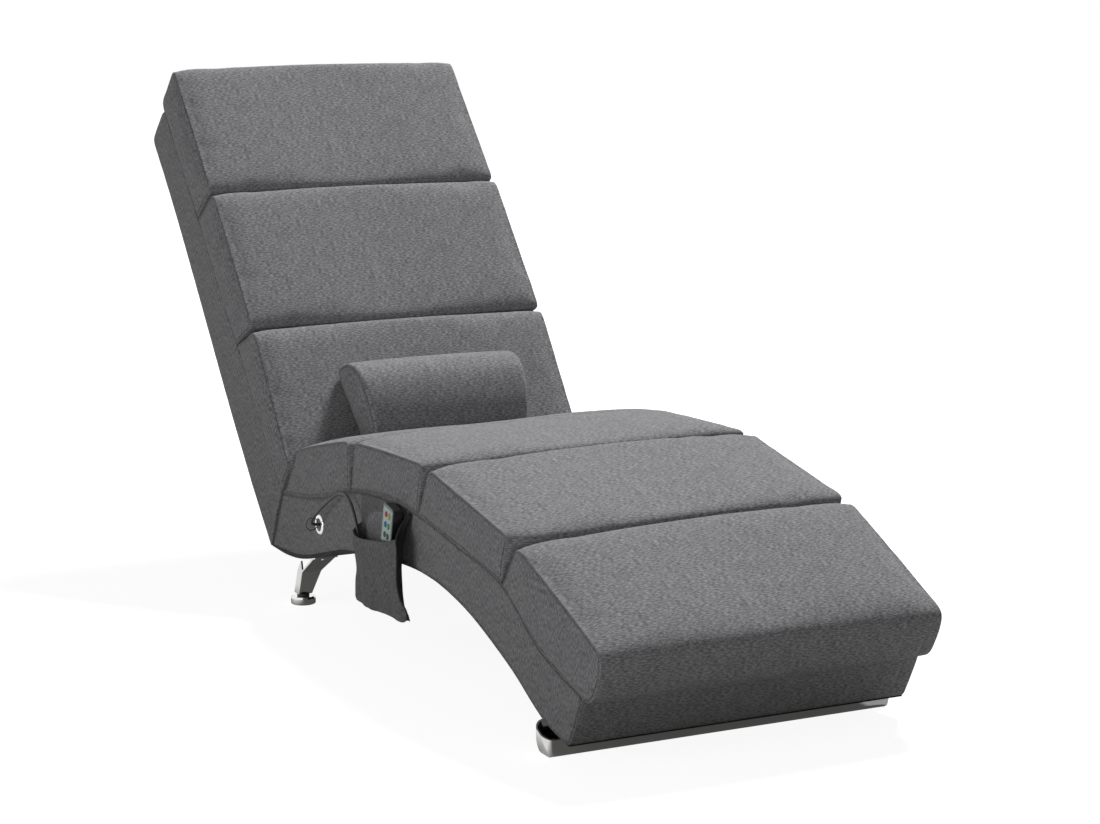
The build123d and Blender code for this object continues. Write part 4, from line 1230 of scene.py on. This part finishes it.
@dataclass(frozen=True)
class Pocket:
    """The limp cloth pocket on the sitter's right, sewn in at the base's top seam, and its piping.

    Its corners and lines are given as (across, place, height). The tip is where lip and front edge
    meet, the toe and the heel are at its bottom, and the pin is where it is sewn in at the foot end. A
    bulge is a count of parts and a reach. Where its folds start is given with how soon they are full.
    """

    tip: Point = (-0.3095, 0.6105, 0.2215)
    toe: Point = (-0.3000, 0.5913, 0.0991)
    heel: Point = (-0.2960, 0.8021, 0.0897)
    inner_heel: Point = (-0.2900, 0.8000, 0.0880)
    mouth: Point = (-0.2990, 0.8048, 0.1955)
    pin: Point = (-0.2772, 0.6320, 0.2562)
    rear_top: Point = (-0.2772, 0.8200, 0.2500)
    lip: Line = (
        mouth, (-0.3025, 0.7857, 0.1910), (-0.3055, 0.7591, 0.1922), (-0.3080, 0.7209, 0.1979),
        (-0.3095, 0.6834, 0.2040), (-0.3105, 0.6487, 0.2098), tip,
    )
    front_edge: Line = (
        toe, (-0.3040, 0.5869, 0.1134), (-0.3070, 0.6041, 0.1319), (-0.3090, 0.6103, 0.1614),
        (-0.3095, 0.6089, 0.2041), tip,
    )
    rear_edge: Line = (
        heel, (-0.2975, 0.7976, 0.1192), (-0.2980, 0.7936, 0.1378), (-0.2990, 0.8025, 0.1713), mouth,
    )
    bottom: Line = (
        heel, (-0.2970, 0.7933, 0.0847), (-0.3000, 0.7601, 0.0837), (-0.3025, 0.7155, 0.0863),
        (-0.3035, 0.6583, 0.0915), (-0.3025, 0.6234, 0.0911), (-0.3010, 0.6022, 0.0928), toe,
    )
    front_back: Line = (
        toe, (-0.2880, 0.6270, 0.0965), (-0.2800, 0.6500, 0.1010), (-0.2780, 0.6620, 0.1150),
        (-0.2776, 0.6650, 0.1450), (-0.2774, 0.6640, 0.1680), (-0.2772, 0.6560, 0.2000),
        (-0.2772, 0.6420, 0.2350), pin,
    )
    rear_back: Line = (
        inner_heel, (-0.2790, 0.8060, 0.0920), (-0.2776, 0.8120, 0.1200), (-0.2772, 0.8150, 0.1600),
        (-0.2772, 0.8185, 0.2050),
    )
    low_back: Line = (
        inner_heel, (-0.2810, 0.7600, 0.0860), (-0.2810, 0.7000, 0.0880), (-0.2830, 0.6550, 0.0920), toe,
    )
    piped: Line = (*front_edge, (-0.2930, 0.6291, 0.2372), pin)
    seam: Line = (rear_top, (-0.2772, 0.7274, 0.2575), pin)
    over: int = 26
    up: int = 24
    gusset_bulge: tuple[int, float] = (6, 0.010)
    side_bulge: tuple[int, float] = (6, -0.004)
    bottom_bulge: tuple[int, float] = (3, 0.0)
    fold: float = 0.0030
    fold_scales: Pair = (38.0, 14.0)
    fold_slice: float = 3.0
    off_base: Pair = (-0.2785, 0.012)
    low_down: Pair = (0.23, 0.08)
    least_fold: float = 0.2
    weave_shift: float = 8.0
    piping_parts: int = 60
    piping_radius: float = 0.0015
    hem_parts: int = 50
    hem_radius: float = 0.0011

    def gusset(self) -> Piece:
        """Makes the side panel towards the foot end, between the piping and the base, which is dressed
        black as painted shade.
        """
        skin = Skin("pocket_gusset")
        self.lay(skin, self.between(self.piped, self.front_back, self.up, self.gusset_bulge), True)
        return skin.finished()

    def cloth(self) -> Piece:
        """Makes the pocket's front, rear side, back and bottom.

        Returns:
            The object, linked to the scene.
        """
        skin = Skin("pocket_cloth")
        rear_back = (*self.rear_back, self.rear_top)
        fronts = (self.bottom, self.lip, self.rear_edge, self.front_edge)
        backs = (self.low_back, self.seam, rear_back, self.front_back)
        for lines, flip in ((fronts, False), (backs, True)):
            counts = (self.over, self.over, self.up, self.up)
            self.lay(skin, patch(*(eased(line, count) for line, count in zip(lines, counts))), flip)
        self.lay(skin, self.between(self.rear_edge, self.rear_back, self.up, self.side_bulge), False)
        self.lay(skin, self.between(self.bottom, self.low_back, self.over, self.bottom_bulge), True)
        return skin.finished()

    def lay(self, skin: Skin, rows: Sequence[Line], flip: bool) -> None:
        """Adds one panel of the pocket to a skin."""
        weave = [[(point[1], point[2] + self.weave_shift) for point in row] for row in rows]
        skin.grid([[self.draped(point) for point in row] for row in rows], weave, flip=flip)

    @staticmethod
    def between(first: Line, last: Line, count: int, bulge: tuple[int, float]) -> list[list[Point]]:
        """Fills the gap between two lines with short lines that bow along the lounger.

        Args:
            first: the points of one line.
            last: the points of the other.
            count: how many parts each has.
            bulge: how many parts a short line has, and how far it bows.

        Returns:
            The short lines.
        """
        parts, reach = bulge
        rows = []
        for low, high in zip(eased(first, count), eased(last, count)):
            row = []
            for number in range(parts + 1):
                share = number / parts
                across, place, height = mix(low, high, share)
                row.append((across, place - reach * 4 * share * (1 - share), height))
            rows.append(row)
        return rows

    def draped(self, point: Point) -> Vector:
        """A point with the slow upright folds of limp cloth, most where it is off the base and low down."""
        across, place, height = point
        back, up = self.fold_scales
        fold = noise.noise(Vector((place * back, height * up, self.fold_slice)))
        off = min(1.0, max(0.0, (self.off_base[0] - across) / self.off_base[1]))
        low = min(1.0, max(self.least_fold, (self.low_down[0] - height) / self.low_down[1]))
        return spot(across - self.fold * fold * (off * low), (place, height))

    def piping(self) -> Piece:
        """Makes the piping, from the base's seam down the front edge to the tip."""
        line = [self.draped(point) for point in eased(self.piped, self.piping_parts)]
        return tube("pocket_piping", line, self.piping_radius)

    def hem(self) -> Piece:
        """Makes the narrow hem along the lip."""
        line = [self.draped(point) for point in eased(self.lip, self.hem_parts)]
        return tube("pocket_hem", line, self.hem_radius)


def tube(name: str, line: Sequence[Vector], radius: float, corners: int = 8) -> Piece:
    """A round tube along a line, closed at both ends.

    Args:
        name: its name.
        line: the points of its middle.
        radius: its radius.
        corners: how many corners it has round it.

    Returns:
        The object, linked to the scene.
    """
    mesh = bmesh.new()
    rings = []
    for number, point in enumerate(line):
        before = line[max(number - 1, 0)]
        after = line[min(number + 1, len(line) - 1)]
        heading = (after - before).normalized()
        aside = heading.cross(Vector((1.0, 0.0, 0.0))).normalized()
        over = heading.cross(aside)
        ring = []
        for corner in range(corners):
            turn = math.tau * corner / corners
            ring.append(mesh.verts.new(point + (aside * math.cos(turn) + over * math.sin(turn)) * radius))
        rings.append(ring)
    for first, second in zip(rings, rings[1:]):
        for corner in range(corners):
            following = (corner + 1) % corners
            mesh.faces.new((first[corner], first[following], second[following], second[corner]))
    mesh.faces.new(reversed(rings[0]))
    mesh.faces.new(rings[-1])
    bmesh.ops.recalc_face_normals(mesh, faces=mesh.faces)
    for face in mesh.faces:
        face.smooth = True
    return shown(name, settled(name, mesh))


@dataclass(frozen=True)
class HandsetCord:
    """The thin limp cord from the grommet to the handset in its pocket.

    The slack is in the pocket, between two places.
    """

    name: str = "handset_cord_line"
    diameter: float = 0.005
    length: float = 0.4504
    route: Line = (
        (-0.2680, 1.0010, 0.1640), (-0.2830, 1.0010, 0.1640), (-0.2955, 0.9920, 0.1705),
        (-0.2950, 0.9750, 0.1860), (-0.2935, 0.9480, 0.2040), (-0.2910, 0.9200, 0.2220),
        (-0.2885, 0.8930, 0.2370), (-0.2880, 0.8660, 0.2440), (-0.2890, 0.8400, 0.2380),
        (-0.2900, 0.8190, 0.2190), (-0.2915, 0.8010, 0.1940), (-0.2920, 0.7880, 0.1650),
        (-0.2920, 0.7730, 0.1370), (-0.2925, 0.7500, 0.1130), (-0.2935, 0.7200, 0.1000),
        (-0.2960, 0.6940, 0.0990), (-0.29801, 0.6790, 0.11005), (-0.29717, 0.6773, 0.12594),
    )
    slack: Pair = (0.7900, 0.6800)

    def build(self) -> tuple[Piece, list[Point]]:
        """Makes the cord as one smooth round tube.

        Returns:
            The object, linked to the scene, and the points that its middle follows.
        """
        data = bpy.data.curves.new(self.name, "CURVE")
        data.dimensions = "3D"
        spline = data.splines.new("NURBS")
        spline.points.add(len(self.route) - 1)
        for point, (across, *side) in zip(spline.points, self.route):
            point.co = (*spot(across, side), 1.0)
        spline.order_u = 3
        spline.use_endpoint_u = True
        spline.resolution_u = 10
        curve = bpy.data.objects.new("handset_cord_route", data)
        path = [tuple(vert.co) for vert in bpy.data.meshes.new_from_object(curve).vertices]
        data.bevel_depth = self.diameter / 2
        data.bevel_resolution = 4
        data.use_fill_caps = True
        mesh = bpy.data.meshes.new_from_object(curve)
        bpy.data.objects.remove(curve)
        mesh.polygons.foreach_set("use_smooth", [True] * len(mesh.polygons))
        return shown(self.name, mesh), path

    def hang(self, cord: Piece) -> None:
        """Bakes the cord's place into its mesh."""
        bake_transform(cord)


@dataclass(frozen=True)
class Lamp:
    """A soft square lamp that points at the middle of the lounger."""

    name: str
    place: Three
    side: float
    power: float
    target: Three = (0.0, 0.1, 0.30)

    def build(self) -> None:
        """Makes the lamp."""
        data = bpy.data.lights.new(self.name, "AREA")
        data.shape = "SQUARE"
        data.size = self.side
        data.energy = self.power
        lamp = shown(self.name, data)
        lamp.location = self.place
        aim = Vector(self.target) - Vector(self.place)
        lamp.rotation_euler = aim.to_track_quat("-Z", "Y").to_euler()


@dataclass(frozen=True)
class Studio:
    """The plain white studio: camera, lamps, world and floor.

    The dark part of the surround, the rim and the mirror are each a range of places and the two levels at
    its
    ends: how dark the surround is towards the foot end in gloss alone, a painted reflection; how the floor
    whitens outward; and how brightly the floor glows in gloss alone, a painted reflection for the chrome.
    """

    lamps: tuple[Lamp, ...] = (
        Lamp("key_lamp", (4.0, 2.4, 7.6), 1.8, 800.0),
        Lamp("side_lamp", (-4.0, -0.7, 0.9), 2.5, 37.0),
        Lamp("front_lamp", (-2.0, -5.0, 0.9), 2.0, 20.0),
    )
    ambient: float = 0.09
    lens: float = 91.0
    sensor: float = 36.0
    camera_place: Three = (-1.9705, -4.0646, 1.1712)
    camera_turn: Three = (79.668, 0.0, -26.955)
    painted_dark_reflection: Four = (-0.62, -0.30, 0.05, 1.0)
    rim: Four = (1.0, 2.2, 0.91, 1.0)
    mirror: Four = (-0.32, -0.27, 0.75, 0.05)
    floor_radius: float = 14.0
    # The floor's base for the camera and for bounce light, then the darker one that gloss sees: a painted
    # reflection.
    floor_tones: tuple[Colour, Colour] = ((0.38, 0.38, 0.38), (0.30, 0.30, 0.30))

    def build(self) -> None:
        """Makes everything that isn't part of the lounger."""
        self.camera()
        for lamp in self.lamps:
            lamp.build()
        self.world()
        self.floor()
        bpy.context.scene.view_settings.view_transform = "Standard"

    def camera(self) -> None:
        """Sets the camera where the photograph was taken from."""
        data = bpy.data.cameras.new("camera")
        data.lens = self.lens
        data.sensor_width = self.sensor
        camera = shown("camera", data)
        camera.location = self.camera_place
        camera.rotation_euler = [math.radians(degrees) for degrees in self.camera_turn]
        bpy.context.scene.camera = camera

    def world(self) -> None:
        """A white surround for the camera and for gloss, darkened towards the foot end for gloss alone as a
        painted reflection, and a dim one for the cloth.
        """
        world = bpy.data.worlds.new("studio")
        bpy.context.scene.world = world
        board = Board(world)
        board.tree.nodes.clear()
        rays = board.add("ShaderNodeLightPath").outputs
        heading = board.add("ShaderNodeTexCoord").outputs["Generated"]
        # Painted reflection: for gloss alone the surround is dark towards the foot end; the camera still
        # sees it white.
        painted_dark_reflection = board.stretched(board.parted(heading, "Y"), *self.painted_dark_reflection)
        white = board.add("ShaderNodeBackground", Strength=1.0)
        board.join(board.sum(painted_dark_reflection, rays["Is Camera Ray"], "MAXIMUM"), white.inputs["Color"])
        dim = board.add("ShaderNodeBackground", Color=(1.0, 1.0, 1.0, 1.0), Strength=self.ambient)
        blend = board.add("ShaderNodeMixShader")
        board.join(board.sum(rays["Is Camera Ray"], rays["Is Glossy Ray"], "MAXIMUM"), blend.inputs["Fac"])
        board.join(dim.outputs[0], blend.inputs[1])
        board.join(white.outputs[0], blend.inputs[2])
        board.join(blend.outputs[0], board.add("ShaderNodeOutputWorld").inputs["Surface"])

    def floor(self) -> None:
        """A wide pale floor that keeps the lounger's shadow and looks white. In gloss alone it has a darker
        base and glows past the lounger's near side and only dimly elsewhere, a painted reflection for the
        chrome.
        """
        mesh = bmesh.new()
        bmesh.ops.create_circle(mesh, cap_ends=True, radius=self.floor_radius, segments=96)
        floor = shown("studio_floor", settled("studio_floor", mesh))
        board = Board(bpy.data.materials.new("studio_floor"))
        rays = board.add("ShaderNodeLightPath").outputs
        # Painted reflection: the floor's base is darker in gloss than for the camera and for bounce light.
        board.feed(board.ramp(rays["Is Glossy Ray"], list(zip((0.0, 1.0), self.floor_tones))), "Base Color")
        reach = board.add("ShaderNodeVectorMath", operation="LENGTH")
        board.join(board.space(), reach.inputs[0])
        level = board.stretched(reach.outputs["Value"], *self.rim)
        seen = board.sum(level, rays["Is Camera Ray"], "MULTIPLY")
        # Painted reflection: in gloss alone the floor glows past the lounger's near side and only dimly
        # elsewhere.
        mirrored = board.stretched(board.parted(board.space(), "X"), *self.mirror)
        glow = board.sum(seen, board.sum(mirrored, rays["Is Glossy Ray"], "MULTIPLY"), "MAXIMUM")
        board.set(Roughness=1.0, Emission_Color=(1.0, 1.0, 1.0, 1.0), Specular_IOR_Level=0.0)
        board.feed(glow, "Emission Strength")
        floor.data.materials.append(board.owner)


@dataclass(frozen=True)
class Stuffing:
    """Fills sewn pieces with a short cloth simulation, whose result stays in their meshes."""

    pressure: float = 4.0
    frames: int = 20
    cap: float = 0.006

    def fill(self, pieces: Sequence[Piece]) -> None:
        """Blows the pieces up against their held seams, and smooths them once.

        Args:
            pieces: the closed cloth meshes, each with its group of held points.
        """
        for piece in pieces:
            cloth = piece.modifiers.new("stuffing", "CLOTH")
            cloth.settings.use_pressure = True
            cloth.settings.uniform_pressure_force = self.pressure
            cloth.settings.effector_weights.gravity = 0.0
            cloth.settings.vertex_group_mass = "held"
            cloth.collision_settings.use_collision = False
            cloth.point_cache.frame_end = self.frames
        for frame in range(1, self.frames + 1):
            bpy.context.scene.frame_set(frame)
        graph = bpy.context.evaluated_depsgraph_get()
        for piece in pieces:
            blown = [vert.co.copy() for vert in piece.evaluated_get(graph).data.vertices]
            LOG.info("%s: cloth moved %.1f mm at most", piece.name, self.settle(piece, blown) * 1000)
        for piece in pieces:
            piece.modifiers.remove(piece.modifiers["stuffing"])
            fine = piece.modifiers.new("fine", "SUBSURF")
            fine.levels = fine.render_levels = 1
        bpy.context.scene.frame_set(1)

    def settle(self, piece: Piece, blown: Sequence[Vector]) -> float:
        """Moves a mesh's points towards their blown places, and never further than the cap.

        Args:
            piece: the piece.
            blown: where the simulation left each point.

        Returns:
            The furthest move, in metres.
        """
        held = piece.data.attributes["hold"].data
        moves = []
        for vert, target, hold in zip(piece.data.vertices, blown, held):
            move = target - vert.co
            moves.append(move * (self.cap / (self.cap + move.length) * (1 - hold.value)))
        for vert, move in zip(piece.data.vertices, moves):
            vert.co += move
        piece.data.update()
        return max(move.length for move in moves)


def seat_cushions() -> dict[str, Cushion]:
    """The four seat cushions, from the foot end to the back, each with the node that it stands for."""
    cushions = [
        Cushion(
            "foot_cushion", SEAT_HALF_WIDTH, foot=DECK[0:3], front_top=(0.0080, 0.1800),
            rear_top=(0.2710, 0.2800), bow=0.005, crown=0.018, far_front=-0.003, far_rear=0.019,
            far_shift=(-0.008, -0.004), rear_gap=0.002, end_bulge=0.004,
            lip=((0.0560, 0.1040), (0.0360, 0.1120), (0.0160, 0.1450)), lip_fullness=0.007,
        ),
        Cushion(
            "calf_cushion", SEAT_HALF_WIDTH, foot=DECK[2:5], front_top=(0.2750, 0.2845),
            rear_top=(0.5740, 0.3385), bow=0.002, crown=0.010, far_front=0.014, far_rear=0.013,
            far_shift=(-0.008, -0.026), front_gap=0.020, rear_gap=0.006, end_bulge=0.004,
        ),
        Cushion(
            "thigh_cushion", 0.2745, foot=DECK[4:7], front_top=(0.5800, 0.3390),
            rear_top=(0.8650, 0.3275), bow=0.005, crown=0.006, far_front=0.010, far_rear=0.011,
            far_shift=(-0.026, -0.035), front_gap=0.008, rear_gap=0.008, end_bulge=0.000,
        ),
        Cushion(
            "hip_cushion", SEAT_HALF_WIDTH, foot=DECK[6:9], front_top=(0.8690, 0.3270),
            rear_top=(1.0953, 0.2735), bow=0.006, crown=0.004, far_front=0.011, far_shift=(-0.035, 0.0),
            front_gap=0.004, rear_gap=0.0, foot_reach=0.001,
        ),
    ]
    return {f"seat_cushion_{cushion.name.removesuffix('_cushion')}": cushion for cushion in cushions}


def pad(wardrobe: Wardrobe, form: SewnForm, node: str, body: str = "lounger") -> Piece:
    """Builds a padded piece and puts it in its place.

    Args:
        wardrobe: where its finish comes from.
        form: its sewn form.
        node: the node that it stands for.
        body: the body that it moves with.

    Returns:
        The object, linked to the scene.
    """
    piece = form.build()
    wardrobe.place(piece, Finish.CUSHION_FABRIC, [node], body)
    return piece


def lay_cord(wardrobe: Wardrobe) -> None:
    """Args:
        wardrobe: where its finish comes from.
    """
    line = HandsetCord()
    cord, path = line.build()
    line.hang(cord)
    wardrobe.declare(cord, Finish.CORD_RUBBER, ["handset_cord"])


def hang_pocket(wardrobe: Wardrobe) -> None:
    """Hangs the pocket on the seat base and declares its cloth.

    Args:
        wardrobe: where its finishes come from.
    """
    pocket = Pocket()
    cloth = pocket.cloth()
    # Painted shade: the pocket's cloth wears a darker copy of the cover fabric.
    wardrobe.place(cloth, Finish.SHADED_POCKET_FABRIC, ["remote_pocket"], slot=Finish.COVER_FABRIC)
    gusset = pocket.gusset()
    # Painted shade: the gusset wears the black dust cloth to stand in for the deep shade between the pocket
    # and the base.
    wardrobe.place(gusset, Finish.DUST_CLOTH)
    piping = pocket.piping()
    wardrobe.place(piping, Finish.BLACK_PIPING, ["pocket_binding"])
    hem = pocket.hem()
    # Painted shade: the hem wears the same darker copy of the cover fabric.
    wardrobe.place(hem, Finish.SHADED_POCKET_FABRIC, slot=Finish.COVER_FABRIC)


def main() -> None:
    """Builds the studio and dresses the lounger, piece by piece."""
    logging.basicConfig(level=logging.INFO, format="%(message)s")
    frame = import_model()
    Studio().build()
    wardrobe = Wardrobe()
    by_name = {finish.value.name: finish for finish in Finish}
    for part in frame["record"]["subparts"]:
        node = part["node"]
        wardrobe.dress(frame["nodes"][node], KEY_FINISHES.get(node, by_name[part["material_slot"]]))
    lay_cord(wardrobe)

    padded = [pad(wardrobe, cushion, node) for node, cushion in seat_cushions().items()]
    back = Back()
    for number, part in enumerate(("lower", "middle", "upper")):
        padded.append(pad(wardrobe, back.cushion(number, f"{part}_back_cushion"), f"back_cushion_{part}"))
    covers = ["seat_side_cover_right", "seat_side_cover_left", "seat_front_cover", "seat_rear_cover"]
    cover = SeatBase(
        "seat_base_cover",
        0.2756,
        roll=0.001,
        seam_depth=0.0014,
        seam_width=0.0022,
        end_bulge=0.0,
        swell=0.0008,
    )
    base = cover.build()
    wardrobe.place(base, Finish.COVER_FABRIC, covers)
    shell = BackShell("back_shell_cover", BACK_HALF_WIDTH, seam_depth=0.0, end_bulge=0.001, back=back)
    wardrobe.place(shell.build(), Finish.COVER_FABRIC, ["back_cover"])
    bolster = Bolster("lumbar_bolster", 0.148, roll=0.004, end_bulge=0.007)
    padded.append(pad(wardrobe, bolster, "bolster", "bolster"))
    Stuffing().fill(padded)

    dust = DustCloth().build()
    wardrobe.place(dust, Finish.DUST_CLOTH, ["seat_dust_cover"])
    hang_pocket(wardrobe)


if __name__ == "__main__":
    main()
